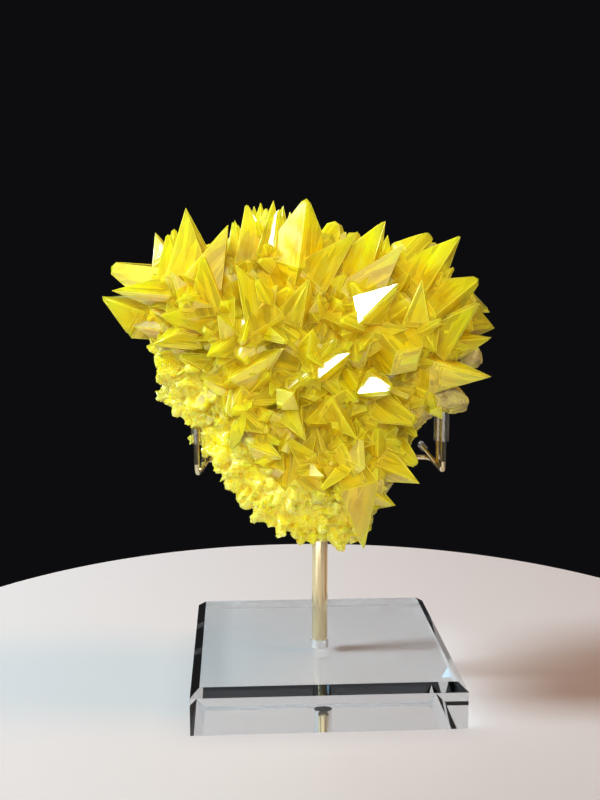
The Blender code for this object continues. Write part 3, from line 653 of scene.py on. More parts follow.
def crystal_material(s):
    """Sulfur grown as crystals: resinous facets over a body that light sinks into and glows."""
    material, tree, place = new_material("sulfur_grown_crystal")
    tint, standing, rim, bed = (
        add(tree, "ShaderNodeAttribute", attribute_name=name).outputs["Fac"]
        for name in ("tint", "standing", "rim", "bed"))
    facet = add(tree, "ShaderNodeUVMap", uv_map="facet").outputs["UV"]
    # Painted shade and light: the colour is darkened to deep gold down between the crystals, where
    # shade falls, and lightened to lemon at their thin points, where light passes through
    cloud = add(tree, "ShaderNodeTexNoise", {"Vector": place, "Scale": 1000 / 7, "Detail": 4.0})
    wander = add(tree, "ShaderNodeMapRange", {
        "Value": cloud, "From Min": 0.3, "From Max": 0.7, "To Min": -4.0, "To Max": 4.0})
    height = add(tree, "ShaderNodeMath", {0: standing, 1: wander}, operation="ADD")
    low = add(tree, "ShaderNodeMapRange", {"Value": height, "From Min": -1.0, "From Max": 5.0})
    high = add(tree, "ShaderNodeMapRange", {"Value": height, "From Min": 4.0, "From Max": 13.0})
    deep = add(tree, "ShaderNodeMix", {0: low, 6: s.crevice_shade, 7: s.gold}, data_type="RGBA")
    body = add(tree, "ShaderNodeMix", {0: high, 6: deep, 7: s.lemon}, data_type="RGBA")
    # The small crystals of the crust are paler
    bedded = add(tree, "ShaderNodeMath", {0: bed, 1: 0.75}, operation="MULTIPLY")
    body = add(tree, "ShaderNodeMix", {0: bedded, 6: body, 7: s.pale}, data_type="RGBA")
    # Veils: sheets of tiny bubbles and healed cracks, which read as pale clouds and as fine
    # straight streaks along the crystal
    veil = add(tree, "ShaderNodeTexNoise", {
        "Vector": place, "Scale": 1000 / 3.0, "Detail": 5.0, "Roughness": 0.62, "Distortion": 0.8})
    patchy = add(tree, "ShaderNodeMapRange", {
        "Value": veil, "From Min": 0.45, "From Max": 0.7, "To Max": 0.35})
    stretch = add(tree, "ShaderNodeMapping", {"Vector": facet, "Scale": (0.07, 2.2, 1.0)})
    lines = add(tree, "ShaderNodeTexNoise", {
        "Vector": stretch, "Scale": 1.0, "Detail": 4.0, "Roughness": 0.6})
    streaks = add(tree, "ShaderNodeMapRange", {
        "Value": lines, "From Min": 0.56, "From Max": 0.66, "To Max": 0.5})
    # Painted highlight: facets are painted paler within 1.3 mm of a sharp edge, on top of the veils
    near = add(tree, "ShaderNodeMapRange", {
        "Value": rim, "From Min": 0.0, "From Max": 1.3, "To Min": 0.3, "To Max": 0.0})
    pale = add(tree, "ShaderNodeMath", {0: streaks, 1: patchy}, operation="ADD")
    paler = add(tree, "ShaderNodeMath", {0: pale, 1: near}, operation="MAXIMUM", use_clamp=True)
    veiled_and_edge_lit = add(tree, "ShaderNodeMix", {0: paler, 6: body, 7: s.veil}, data_type="RGBA")
    # Flat flaws inside, as sharp patches drawn out along the crystal: partly random tone, partly
    # painted reflection where they mirror the light
    drawn = add(tree, "ShaderNodeMapping", {"Vector": facet, "Scale": (1 / 9, 1 / 1.4, 1.0)})
    flaws = add(tree, "ShaderNodeTexVoronoi", {"Vector": drawn, "Scale": 1.0})
    flaw_tone_and_glint = add(tree, "ShaderNodeMapRange", {
        "Value": flaws.outputs["Color"], "From Max": 1.0, "To Min": 0.62, "To Max": 1.22})
    shade = add(tree, "ShaderNodeMapRange", {"Value": tint, "To Min": 0.85, "To Max": 1.03})
    value = add(tree, "ShaderNodeMath", {0: shade, 1: flaw_tone_and_glint}, operation="MULTIPLY")
    colour = add(tree, "ShaderNodeHueSaturation", {"Value": value, "Color": veiled_and_edge_lit})
    # Growth lines: half millimetre steps along a facet's longest edge, plainer on some facets
    waves = add(tree, "ShaderNodeTexNoise", {"Vector": place, "Scale": 1000 / 4, "Detail": 1.0})
    stepped = add(tree, "ShaderNodeMapRange", {
        "Value": tint, "From Min": 0.5, "From Max": 1.0, "To Min": 0.2, "To Max": 0.9})
    relief = add(tree, "ShaderNodeBump", {"Height": lines, "Strength": stepped, "Distance": 0.05 * MM})
    relief = add(tree, "ShaderNodeBump", {
        "Height": waves, "Strength": 0.15, "Distance": 0.1 * MM, "Normal": relief})
    gloss = add(tree, "ShaderNodeMapRange", {
        "Value": waves, "From Min": 0.35, "From Max": 0.65, "To Min": 0.12, "To Max": 0.19})
    shader = add(tree, "ShaderNodeBsdfPrincipled", {
        "Base Color": colour, "Roughness": gloss, "IOR": 2.0, "Normal": relief,
        "Subsurface Weight": 1.0, "Subsurface Radius": (1.0, 0.75, 0.04),
        "Subsurface Scale": s.glow_depth, "Transmission Weight": s.clarity})
    volume = add(tree, "ShaderNodeVolumeAbsorption", {"Color": s.lemon, "Density": 250.0})
    add(tree, "ShaderNodeOutputMaterial", {"Surface": shader, "Volume": volume})
    return material


def edge_material(s):
    """Sulfur on a crystal's rounded edge: thin, and painted paler and brighter than the body as a
    painted highlight.
    """
    material, tree, place = new_material("sulfur_edge_painted_highlight")
    edge_patches = add(tree, "ShaderNodeTexNoise", {"Vector": place, "Scale": 1000 / 2, "Detail": 3.0})
    share = add(tree, "ShaderNodeMapRange", {"Value": edge_patches, "From Min": 0.35, "From Max": 0.6})
    # Painted highlight: patches along the edge go from lemon to the paler veil colour
    colour = add(tree, "ShaderNodeMix", {0: share, 6: s.lemon, 7: s.veil}, data_type="RGBA")
    shader = add(tree, "ShaderNodeBsdfPrincipled", {
        "Base Color": colour, "Roughness": 0.22, "IOR": 2.0})
    add(tree, "ShaderNodeOutputMaterial", {"Surface": shader})
    return material


def massive_material(s):
    """Sulfur in packed fine grains: pale, sugary, with a scatter of bright grain faces."""
    material, tree, place = new_material("sulfur_fine_grained")
    patch = add(tree, "ShaderNodeTexNoise", {"Vector": place, "Scale": 1000 / 6, "Detail": 4.0})
    share = add(tree, "ShaderNodeMapRange", {"Value": patch, "From Min": 0.4, "From Max": 0.65})
    bed = add(tree, "ShaderNodeMix", {0: share, 6: s.pale, 7: s.lemon}, data_type="RGBA")
    # Painted shade and highlight: the gaps between its grains are darkened to deep gold, and its ridges
    # are painted pale
    shape = add(tree, "ShaderNodeNewGeometry").outputs["Pointiness"]
    gap_shade = add(tree, "ShaderNodeMapRange", {
        "Value": shape, "From Min": 0.42, "From Max": 0.5, "To Min": 0.85, "To Max": 0.0})
    deep = add(tree, "ShaderNodeMix", {0: gap_shade, 6: bed, 7: s.crevice_shade}, data_type="RGBA")
    ridge_highlight = add(tree, "ShaderNodeMapRange", {
        "Value": shape, "From Min": 0.52, "From Max": 0.62, "To Max": 0.6})
    colour = add(tree, "ShaderNodeMix", {0: ridge_highlight, 6: deep, 7: s.ridge_highlight_tint}, data_type="RGBA")
    grains = add(tree, "ShaderNodeTexVoronoi", {"Vector": place, "Scale": 1000 / 0.8})
    gloss = add(tree, "ShaderNodeMapRange", {
        "Value": grains.outputs["Color"], "To Min": 0.2, "To Max": 0.7})
    relief = add(tree, "ShaderNodeBump", {"Height": grains, "Strength": 0.6, "Distance": 0.25 * MM})
    shader = add(tree, "ShaderNodeBsdfPrincipled", {
        "Base Color": colour, "Roughness": gloss, "IOR": 1.96, "Normal": relief,
        "Subsurface Weight": 1.0, "Subsurface Radius": (1.0, 0.85, 0.1),
        "Subsurface Scale": 0.6 * s.glow_depth})
    add(tree, "ShaderNodeOutputMaterial", {"Surface": shader})
    return material


def grain_material(s):
    """Sulfur in single angular grains: clear enough to be paler than their bed, and bright."""
    material, tree, place = new_material("sulfur_single_grains")
    patch = add(tree, "ShaderNodeTexNoise", {"Vector": place, "Scale": 1000 / 1.5, "Detail": 2.0})
    share = add(tree, "ShaderNodeMapRange", {"Value": patch, "From Min": 0.4, "From Max": 0.6})
    colour = add(tree, "ShaderNodeMix", {0: share, 6: s.pale, 7: s.gold}, data_type="RGBA")
    shader = add(tree, "ShaderNodeBsdfPrincipled", {
        "Base Color": colour, "Roughness": 0.12, "IOR": 2.0})
    add(tree, "ShaderNodeOutputMaterial", {"Surface": shader})
    return material


def rock_material(s):
    """Limestone as broken: beige, dull, with sulfur worked into it and darker specks."""
    material, tree, place = new_material("limestone_broken")
    beds = add(tree, "ShaderNodeTexNoise", {"Vector": place, "Scale": 1000 / 5, "Detail": 5.0})
    share = add(tree, "ShaderNodeMapRange", {
        "Value": beds, "From Min": 0.42, "From Max": 0.6, "To Max": 0.6})
    mixed = add(tree, "ShaderNodeMix", {0: share, 6: s.rock, 7: s.pale}, data_type="RGBA")
    specks = add(tree, "ShaderNodeTexVoronoi", {"Vector": place, "Scale": 1000 / 0.7})
    dark = add(tree, "ShaderNodeMapRange", {
        "Value": specks, "From Min": 0.0, "From Max": 0.3, "To Min": 0.75, "To Max": 1.0})
    colour = add(tree, "ShaderNodeHueSaturation", {"Value": dark, "Color": mixed})
    relief = add(tree, "ShaderNodeBump", {"Height": beds, "Strength": 0.7, "Distance": 0.4 * MM})
    shader = add(tree, "ShaderNodeBsdfPrincipled", {
        "Base Color": colour, "Roughness": 0.8, "IOR": 1.6, "Normal": relief})
    add(tree, "ShaderNodeOutputMaterial", {"Surface": shader})
    return material


def brass_material(s):
    """Brass rod, drawn and polished: bright, with faint lines from the die along it."""
    material, tree, place = new_material("brass_drawn_polished")
    drawn = add(tree, "ShaderNodeMapping", {
        "Vector": place, "Scale": (1000 / 0.4, 1000 / 0.4, 1000 / 14)})
    lines = add(tree, "ShaderNodeTexNoise", {"Vector": drawn, "Scale": 1.0, "Detail": 2.0})
    gloss = add(tree, "ShaderNodeMapRange", {
        "Value": lines, "From Min": 0.3, "From Max": 0.7, "To Min": 0.1, "To Max": 0.24})
    dull = add(tree, "ShaderNodeTexNoise", {"Vector": place, "Scale": 1000 / 8, "Detail": 3.0})
    colour = add(tree, "ShaderNodeMix", {0: dull, 6: s.brass, 7: s.dull_brass}, data_type="RGBA")
    relief = add(tree, "ShaderNodeBump", {"Height": lines, "Strength": 0.15, "Distance": 0.02 * MM})
    shader = add(tree, "ShaderNodeBsdfPrincipled", {
        "Base Color": colour, "Metallic": 1.0, "Roughness": gloss, "Normal": relief})
    add(tree, "ShaderNodeOutputMaterial", {"Surface": shader})
    return material


def clear_material(name, tint, ior, rough, density):
    """A clear plastic, with the faint haze of handling on its surface."""
    material, tree, place = new_material(name)
    haze = add(tree, "ShaderNodeTexNoise", {"Vector": place, "Scale": 1000 / 6, "Detail": 4.0})
    gloss = add(tree, "ShaderNodeMapRange", {
        "Value": haze, "From Min": 0.45, "From Max": 0.7, "To Min": rough[0], "To Max": rough[1]})
    shader = add(tree, "ShaderNodeBsdfPrincipled", {
        "Base Color": (1.0, 1.0, 1.0, 1.0), "Roughness": gloss, "IOR": ior, "Transmission Weight": 1.0})
    volume = add(tree, "ShaderNodeVolumeAbsorption", {"Color": tint, "Density": density})
    add(tree, "ShaderNodeOutputMaterial", {"Surface": shader, "Volume": volume})
    return material


def floor_material(s):
    """Board with matte paint: a pale tone with a very slight orange peel, and painted shade under and
    beside the clear base.
    """
    material, tree, place = new_material("board_matte_paint")
    peel = add(tree, "ShaderNodeTexNoise", {"Vector": place, "Scale": 1000 / 2, "Detail": 2.0})
    relief = add(tree, "ShaderNodeBump", {"Height": peel, "Strength": 0.05, "Distance": 0.1 * MM})
    # Painted shade: the floor is darkened under the clear base and close beside it, for the light lost
    # on its way through
    nearby = add(tree, "ShaderNodeAmbientOcclusion", {"Distance": 12 * MM}, samples=8)
    shade = add(tree, "ShaderNodeMapRange", {"Value": nearby.outputs["AO"], "To Min": 0.76})
    colour = add(tree, "ShaderNodeHueSaturation", {"Value": shade, "Color": s.floor})
    shader = add(tree, "ShaderNodeBsdfPrincipled", {
        "Base Color": colour, "Roughness": 0.55, "Normal": relief})
    add(tree, "ShaderNodeOutputMaterial", {"Surface": shader})
    return material


# Geometry trees


def new_tree(name, sizes):
    """A geometry tree with named size inputs, and the sockets that hand its inputs out."""
    tree = bpy.data.node_groups.new(name, "GeometryNodeTree")
    tree.interface.new_socket("Geometry", in_out="INPUT", socket_type="NodeSocketGeometry")
    for label in sizes:
        tree.interface.new_socket(label, in_out="INPUT", socket_type="NodeSocketFloat")
    tree.interface.new_socket("Finish", in_out="INPUT", socket_type="NodeSocketMaterial")
    tree.interface.new_socket("Geometry", in_out="OUTPUT", socket_type="NodeSocketGeometry")
    return tree, add(tree, "NodeGroupInput").outputs


def grow(mesh, tree, sizes, finish):
    """The plain mesh that a geometry tree makes from a mesh."""
    host = link_object("host", mesh)
    modifier = host.modifiers.new("grow", "NODES")
    modifier.node_group = tree
    for item in tree.interface.items_tree:
        if item.in_out == "INPUT" and item.name in sizes:
            modifier[item.identifier] = float(sizes[item.name])
        elif item.in_out == "INPUT" and item.name == "Finish":
            modifier[item.identifier] = finish
    depsgraph = bpy.context.evaluated_depsgraph_get()
    grown = bpy.data.meshes.new_from_object(host.evaluated_get(depsgraph))
    host.modifiers.clear()
    bpy.data.objects.remove(host, do_unlink=True)
    return grown


def end_tree(tree, geometry, source, smooth):
    """Realize what the tree made, give it its finish and hand it out."""
    whole = add(tree, "GeometryNodeRealizeInstances", {"Geometry": geometry})
    eased = add(tree, "GeometryNodeSetShadeSmooth", {"Geometry": whole, "Shade Smooth": smooth})
    painted = add(tree, "GeometryNodeSetMaterial", {
        "Geometry": eased, "Material": source["Finish"]})
    add(tree, "NodeGroupOutput", {0: painted})


def edge_tree():
    """Thin rounded rods along the sharp outer edges, which catch the light as real ones do."""
    tree, source = new_tree("rounded_edges", ("Width", "Angle", "Shortest"))
    angle = add(tree, "GeometryNodeInputMeshEdgeAngle")
    sharp = add(tree, "FunctionNodeCompare", {
        "A": angle.outputs["Signed Angle"], "B": source["Angle"]})
    ends = add(tree, "GeometryNodeInputMeshEdgeVertices").outputs
    span = add(tree, "ShaderNodeVectorMath", {
        0: ends["Position 1"], 1: ends["Position 2"]}, operation="DISTANCE")
    long = add(tree, "FunctionNodeCompare", {"A": span, "B": source["Shortest"]})
    chosen = add(tree, "FunctionNodeBooleanMath", {0: sharp, 1: long}, operation="AND")
    line = add(tree, "GeometryNodeMeshToCurve", {
        "Mesh": source["Geometry"], "Selection": chosen})
    fine = add(tree, "GeometryNodeResampleCurve", {"Curve": line, "Length": 2.5 * MM}, mode="LENGTH")
    edge_patches = add(tree, "ShaderNodeTexNoise", {"Scale": 1000 / 3, "Detail": 2.0})
    share = add(tree, "ShaderNodeMapRange", {
        "Value": edge_patches, "From Min": 0.35, "From Max": 0.65, "To Min": 0.32, "To Max": 0.6})
    half = add(tree, "ShaderNodeMath", {0: source["Width"], 1: share}, operation="MULTIPLY")
    worn = add(tree, "GeometryNodeSetCurveRadius", {"Curve": fine, "Radius": half})
    ring = add(tree, "GeometryNodeCurvePrimitiveCircle", {"Resolution": 3, "Radius": 1.0})
    radius = add(tree, "GeometryNodeInputRadius")
    rod = add(tree, "GeometryNodeCurveToMesh", {
        "Curve": worn, "Profile Curve": ring, "Scale": radius, "Fill Caps": True})
    end_tree(tree, rod, source, True)
    return tree


def double_pyramid(tree):
    """One steep four sided double pyramid with blunt points, marked as a side crystal."""
    half = add(tree, "GeometryNodeMeshCone", {
        "Vertices": 4, "Radius Top": 0.08, "Radius Bottom": 0.32, "Depth": 0.5})
    other = add(tree, "GeometryNodeTransform", {"Geometry": half, "Rotation": (math.pi, 0.0, 0.0)})
    both = add(tree, "GeometryNodeJoinGeometry", {0: half})
    tree.links.new(other.outputs[0], both.inputs[0])
    whole = add(tree, "GeometryNodeConvexHull", {0: both})
    return add(tree, "GeometryNodeStoreNamedAttribute", {
        "Geometry": whole, "Name": "side", "Value": 1.0}, data_type="FLOAT", domain="FACE")


def corner_crystals(tree, source, wall, region, share, pyramid):
    """Crystals that point outwards from the hollow corners between the large ones."""
    angle = add(tree, "GeometryNodeInputMeshEdgeAngle").outputs["Signed Angle"]
    hollow = add(tree, "FunctionNodeCompare", {"A": angle, "B": source["Angle"]},
                 operation="LESS_THAN")
    plain = add(tree, "FunctionNodeCompare", {"A": wall, "B": 0.01}, operation="LESS_THAN")
    corner = add(tree, "FunctionNodeBooleanMath", {0: hollow, 1: plain}, operation="AND")
    grown = add(tree, "FunctionNodeCompare", {"A": region, "B": CRYSTAL + 0.1},
                operation="LESS_THAN")
    chosen = add(tree, "FunctionNodeBooleanMath", {0: corner, 1: grown}, operation="AND")
    # They get shorter towards the outline
    shorter = add(tree, "ShaderNodeMapRange", {
        "Value": share, "From Min": 0.7, "From Max": 1.0, "To Min": 1.0, "To Max": 0.4})
    kept = add(tree, "GeometryNodeCaptureAttribute", {0: source["Geometry"]}, domain="POINT")
    kept.capture_items.new("VECTOR", "outward")
    kept.capture_items.new("FLOAT", "shortness")
    normal = add(tree, "GeometryNodeInputNormal")
    tree.links.new(normal.outputs[0], kept.inputs["outward"])
    tree.links.new(shorter.outputs[0], kept.inputs["shortness"])
    outward, shortness = kept.outputs["outward"], kept.outputs["shortness"]
    line = add(tree, "GeometryNodeMeshToCurve", {"Mesh": kept, "Selection": chosen})
    points = add(tree, "GeometryNodeCurveToPoints", {"Curve": line, "Length": source["Spacing"]},
                 mode="LENGTH")
    lean = add(tree, "FunctionNodeRandomValue", {
        0: (-0.7, -0.7, -0.7), 1: (0.7, 0.7, 0.7), "Seed": 3}, data_type="FLOAT_VECTOR")
    leant = add(tree, "ShaderNodeVectorMath", {0: outward, 1: lean}, operation="ADD")
    upright = add(tree, "FunctionNodeAlignRotationToVector", {"Vector": leant}, axis="Z")
    turn = add(tree, "FunctionNodeRandomValue", {2: 0.0, 3: math.tau, "Seed": 8}, data_type="FLOAT")
    spin = add(tree, "FunctionNodeAxisAngleToRotation", {"Axis": (0.0, 0.0, 1.0), "Angle": turn})
    turned = add(tree, "FunctionNodeRotateRotation", {"Rotation": upright, "Rotate By": spin},
                 rotation_space="LOCAL")
    form = add(tree, "FunctionNodeRandomValue", {
        0: (0.45, 0.45, 0.4), 1: (1.1, 1.3, 1.1), "Seed": 5}, data_type="FLOAT_VECTOR")
    long = add(tree, "ShaderNodeMath", {0: shortness, 1: source["Length"]}, operation="MULTIPLY")
    size = add(tree, "ShaderNodeVectorMath", {0: form, "Scale": long}, operation="SCALE")
    # The top grew fewer of them
    here = add(tree, "GeometryNodeInputPosition")
    level = add(tree, "ShaderNodeSeparateXYZ", {0: here}).outputs["Z"]
    often = add(tree, "ShaderNodeMapRange", {
        "Value": level, "From Min": 108 * MM, "From Max": 122 * MM, "To Min": 0.75, "To Max": 0.25})
    drawn = add(tree, "FunctionNodeRandomValue", {2: 0.0, 3: 1.0, "Seed": 31}, data_type="FLOAT")
    wanted = add(tree, "FunctionNodeCompare", {"A": drawn, "B": often}, operation="LESS_THAN")
    # None reaches out of the CAD model's front, and none grows right at the outline
    way = add(tree, "ShaderNodeVectorMath", {0: leant}, operation="NORMALIZE")
    reach = add(tree, "ShaderNodeVectorMath", {0: way, "Scale": long}, operation="SCALE")
    most = add(tree, "ShaderNodeVectorMath", {0: reach, "Scale": 0.6}, operation="SCALE")
    tip = add(tree, "ShaderNodeVectorMath", {0: here, 1: most}, operation="ADD")
    front = add(tree, "ShaderNodeSeparateXYZ", {0: tip}).outputs["Y"]
    inside = add(tree, "FunctionNodeCompare", {"A": front, "B": CAD_BOX[0][1] + 3.5 * MM},
                 operation="GREATER_THAN")
    within = add(tree, "FunctionNodeCompare", {"A": shortness, "B": 0.42},
                 operation="GREATER_THAN")
    fitting = add(tree, "FunctionNodeBooleanMath", {0: wanted, 1: inside}, operation="AND")
    allowed = add(tree, "FunctionNodeBooleanMath", {0: fitting, 1: within}, operation="AND")
    return add(tree, "GeometryNodeInstanceOnPoints", {
        "Points": points, "Selection": allowed, "Instance": pyramid, "Rotation": turned,
        "Scale": size})


def crust_crystals(tree, source, region, share, pyramid):
    """Blocky crystals that lie any way round in the crust, lower towards the outline."""
    ground = add(tree, "FunctionNodeCompare", {"A": region, "B": float(MASSIVE), "Epsilon": 0.1},
                 operation="EQUAL")
    strewn = add(tree, "GeometryNodeDistributePointsOnFaces", {
        "Mesh": source["Geometry"], "Selection": ground, "Density": source["Crust Density"],
        "Seed": 7})
    tumbled = add(tree, "FunctionNodeRandomValue", {
        0: (0.0, 0.0, 0.0), 1: ANY_TURN, "Seed": 21}, data_type="FLOAT_VECTOR")
    stout = add(tree, "FunctionNodeRandomValue", {
        0: (0.8, 0.7, 0.5), 1: (2.0, 1.7, 1.5), "Seed": 22}, data_type="FLOAT_VECTOR")
    low = add(tree, "ShaderNodeMapRange", {
        "Value": share, "From Min": 0.8, "From Max": 1.0, "To Min": 1.0, "To Max": 0.35})
    length = add(tree, "ShaderNodeMath", {0: low, 1: source["Crust Length"]}, operation="MULTIPLY")
    size = add(tree, "ShaderNodeVectorMath", {0: stout, "Scale": length}, operation="SCALE")
    bedded = add(tree, "GeometryNodeStoreNamedAttribute", {
        "Geometry": pyramid, "Name": "bed", "Value": 1.0}, data_type="FLOAT", domain="FACE")
    return add(tree, "GeometryNodeInstanceOnPoints", {
        "Points": strewn, "Instance": bedded, "Rotation": tumbled, "Scale": size})


def side_crystal_tree():
    """Side crystals and crust crystals, made one solid with the large ones."""
    tree, source = new_tree("side_crystals", (
        "Spacing", "Length", "Angle", "Crust Density", "Crust Length"))
    wall, region, share = (
        add(tree, "GeometryNodeInputNamedAttribute", {"Name": name}, data_type="FLOAT")
        for name in ("wall", "region", "share"))
    pyramid = double_pyramid(tree)
    solid = add(tree, "GeometryNodeMeshBoolean", {"Mesh 2": source["Geometry"]},
                operation="UNION", solver="MANIFOLD")
    for placed in (corner_crystals(tree, source, wall, region, share, pyramid),
                   crust_crystals(tree, source, region, share, pyramid)):
        tree.links.new(placed.outputs[0], solid.inputs["Mesh 2"])
    end_tree(tree, solid, source, False)
    return tree


def grain_tree():
    """Angular grains strewn over a surface."""
    tree, source = new_tree("grains", ("Density", "Size"))
    strewn = add(tree, "GeometryNodeDistributePointsOnFaces", {
        "Mesh": source["Geometry"], "Density": source["Density"], "Seed": 12})
    grain = add(tree, "GeometryNodeMeshIcoSphere", {"Radius": 0.5, "Subdivisions": 1})
    turn = add(tree, "FunctionNodeRandomValue", {
        0: (0.0, 0.0, 0.0), 1: ANY_TURN, "Seed": 2}, data_type="FLOAT_VECTOR")
    share = add(tree, "FunctionNodeRandomValue", {
        0: (0.45, 0.45, 0.35), 1: (1.3, 1.1, 0.95), "Seed": 4}, data_type="FLOAT_VECTOR")
    size = add(tree, "ShaderNodeVectorMath", {
        0: share, "Scale": source["Size"]}, operation="SCALE")
    placed = add(tree, "GeometryNodeInstanceOnPoints", {
        "Points": strewn, "Instance": grain, "Rotation": turn, "Scale": size})
    end_tree(tree, placed, source, False)
    return tree


# Steps that the operators share


def part_of(mesh, wanted):
    """A copy of the faces of a mesh that carry one of the wanted material slots."""
    bm = bmesh_of(mesh)
    unwanted = [face for face in bm.faces if face.material_index not in wanted]
    bmesh.ops.delete(bm, geom=unwanted, context="FACES")
    return new_mesh("part", bm)


def keep_inside(mesh):
    """Drop each loose bit of a mesh that reaches out of the CAD model's box."""
    low, high = map(Vector, CAD_BOX)
    bm = bmesh_of(mesh)
    outside = [vert for vert in bm.verts
               if any(not low[i] <= vert.co[i] <= high[i] for i in range(3))]
    doomed = set()
    for vert in outside:
        queue = [vert] if vert not in doomed else []
        while queue:
            here = queue.pop()
            if here in doomed:
                continue
            doomed.add(here)
            queue.extend(edge.other_vert(here) for edge in here.link_edges)
    bmesh.ops.delete(bm, geom=list(doomed), context="VERTS")
    bm.to_mesh(mesh)
    bm.free()


def add_floor(s):
    """A round board with a rounded rim under the stand."""
    bm = bmesh.new()
    lift = (0, -FLOOR_FORWARD, -FLOOR_THICK / 2 - FLOOR_GAP)
    bmesh.ops.create_cone(bm, cap_ends=True, segments=256, radius1=s.floor_radius,
                          radius2=s.floor_radius, depth=FLOOR_THICK)
    bmesh.ops.translate(bm, vec=lift, verts=bm.verts)
    rim = [edge for edge in bm.edges if all(vert.co.z > -MM for vert in edge.verts)]
    bmesh.ops.bevel(bm, geom=rim, offset=FLOOR_ROUNDING, segments=5, affect="EDGES")
    mesh = new_mesh("floor", bm)
    mesh.shade_smooth()
    mesh.set_sharp_from_angle(angle=math.radians(40))
    mesh.materials.append(floor_material(s))
    floor = link_object("floor", mesh)
    floor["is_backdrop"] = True
    return floor


def collect(name, pieces):
    """A collection of pieces, for what a lamp lights or what throws shadows."""
    collection = bpy.data.collections.new(name)
    for piece in pieces:
        collection.objects.link(piece)
    return collection


def add_lamp(name, form, power, mirrored=True):
    """A soft lamp that the camera doesn't see, for which only solid things throw shadows."""
    place, width, height, colour = form
    light = bpy.data.lights.new(name, "AREA")
    light.shape = "RECTANGLE"
    light.size = width
    light.size_y = height
    light.energy = power
    light.color = linear(colour)[:3]
    lamp = link_object(name, light)
    lamp.location = Vector(place) * MM
    lamp.rotation_euler = (AIM - lamp.location).to_track_quat("-Z", "Y").to_euler()
    lamp.visible_camera = False
    lamp.visible_glossy = mirrored
    lamp.visible_transmission = False
    lamp.light_linking.blocker_collection = bpy.data.collections["solid"]
    return lamp


def add_camera():
    """A camera at the place from which the photo was taken."""
    camera = bpy.data.cameras.new("camera")
    camera.sensor_fit = "VERTICAL"
    camera.sensor_height = SENSOR_HEIGHT
    camera.lens = LENS
    camera.clip_start = 0.01
    viewer = link_object("camera", camera)
    right, down = math.radians(LOOK_RIGHT), math.radians(LOOK_DOWN)
    ahead = Vector((math.sin(right) * math.cos(down), math.cos(right) * math.cos(down),
                    -math.sin(down)))
    viewer.location = Vector(EYE) * MM
    viewer.rotation_euler = ahead.to_track_quat("-Z", "Y").to_euler()
    return viewer


# Operators


class SULFUR_OT_cluster(bpy.types.Operator):
    """Give the cluster its side crystals, growth steps, grained crust and rough rock"""
    bl_idname = "sulfur.cluster"
    bl_label = "Crystal Cluster"

    def execute(self, context):
        s = context.scene.sulfur_mineral
        bm = bmesh_of(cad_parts[CLUSTER].data)
        bmesh.ops.remove_doubles(bm, verts=bm.verts, dist=MERGE_DISTANCE)
        bm.normal_update()
        bmesh.ops.dissolve_limit(bm, angle_limit=FLAT_ANGLE, verts=bm.verts, edges=bm.edges)
        raise_steps(bm)
        note_regions(bm)
        stepped = new_mesh("stepped", bm)
        finishes = [crystal_material(s), massive_material(s), rock_material(s)]
        sizes = {"Spacing": s.side_spacing, "Length": s.side_length, "Angle": CORNER_ANGLE,
                 "Crust Density": 1 / s.crust_spacing ** 2, "Crust Length": s.crust_length}
        bm = bmesh_of(grow(stepped, side_crystal_tree(), sizes, finishes[0]))
        bm.normal_update()
        choose_finishes(bm)
        lay_out_facets(bm)
        # The operator for the edges takes the facets as they are now, still flat
        bm.to_mesh(bpy.data.meshes.new("facets"))
        drop_slivers(bm)
        edge_places = sharp_edge_places(bm)
        all_triangles(bm)
        refine(bm, FINENESS)
        roughen(bm)
        note_depths(bm, edge_places)
        bm.normal_update()
        mesh = new_mesh("crystal_cluster", bm)
        show("crystal_cluster", mesh, finishes, [CLUSTER])
        return {"FINISHED"}


class SULFUR_OT_edges(bpy.types.Operator):
    """Round the sharp edges of the crystals"""
    bl_idname = "sulfur.edges"
    bl_label = "Crystal Edges"

    def execute(self, context):
        s = context.scene.sulfur_mineral
        finish = edge_material(s)
        crystals = part_of(bpy.data.meshes["facets"], {CRYSTAL})
        sizes = {"Width": s.edge_width, "Angle": ROD_ANGLE, "Shortest": SHORTEST_ROD}
        mesh = grow(crystals, edge_tree(), sizes, finish)
        keep_inside(mesh)
        show("crystal_edges", mesh, [finish])
        return {"FINISHED"}


class SULFUR_OT_grains(bpy.types.Operator):
    """Strew grains over the crust"""
    bl_idname = "sulfur.grains"
    bl_label = "Crust Grains"

    def execute(self, context):
        s = context.scene.sulfur_mineral
        finish = grain_material(s)
        crust = part_of(bpy.data.objects["crystal_cluster"].data, {MASSIVE})
        area = sum(face.area for face in crust.polygons)
        sizes = {"Density": s.grain_count / area, "Size": s.grain_size}
        mesh = grow(crust, grain_tree(), sizes, finish)
        keep_inside(mesh)
        show("crust_grains", mesh, [finish])
        return {"FINISHED"}


class SULFUR_OT_stand(bpy.types.Operator):
    """Finish the clear base, the brass rods and the clear sleeves"""
    bl_idname = "sulfur.stand"
    bl_label = "Stand"

    def execute(self, context):
        s = context.scene.sulfur_stand
        brass = brass_material(s)
        acrylic = clear_material("acrylic_cast_polished", s.acrylic, *CAST_ACRYLIC)
        vinyl = clear_material("vinyl_clear_extruded", s.vinyl, *EXTRUDED_VINYL)
        for names, finish in (((BASE,), acrylic), ((POST, *ARMS), brass), (CLEAR_VINYL, vinyl)):
            for name in names:
                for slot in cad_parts[name].material_slots:
                    slot.material = finish
        return {"FINISHED"}


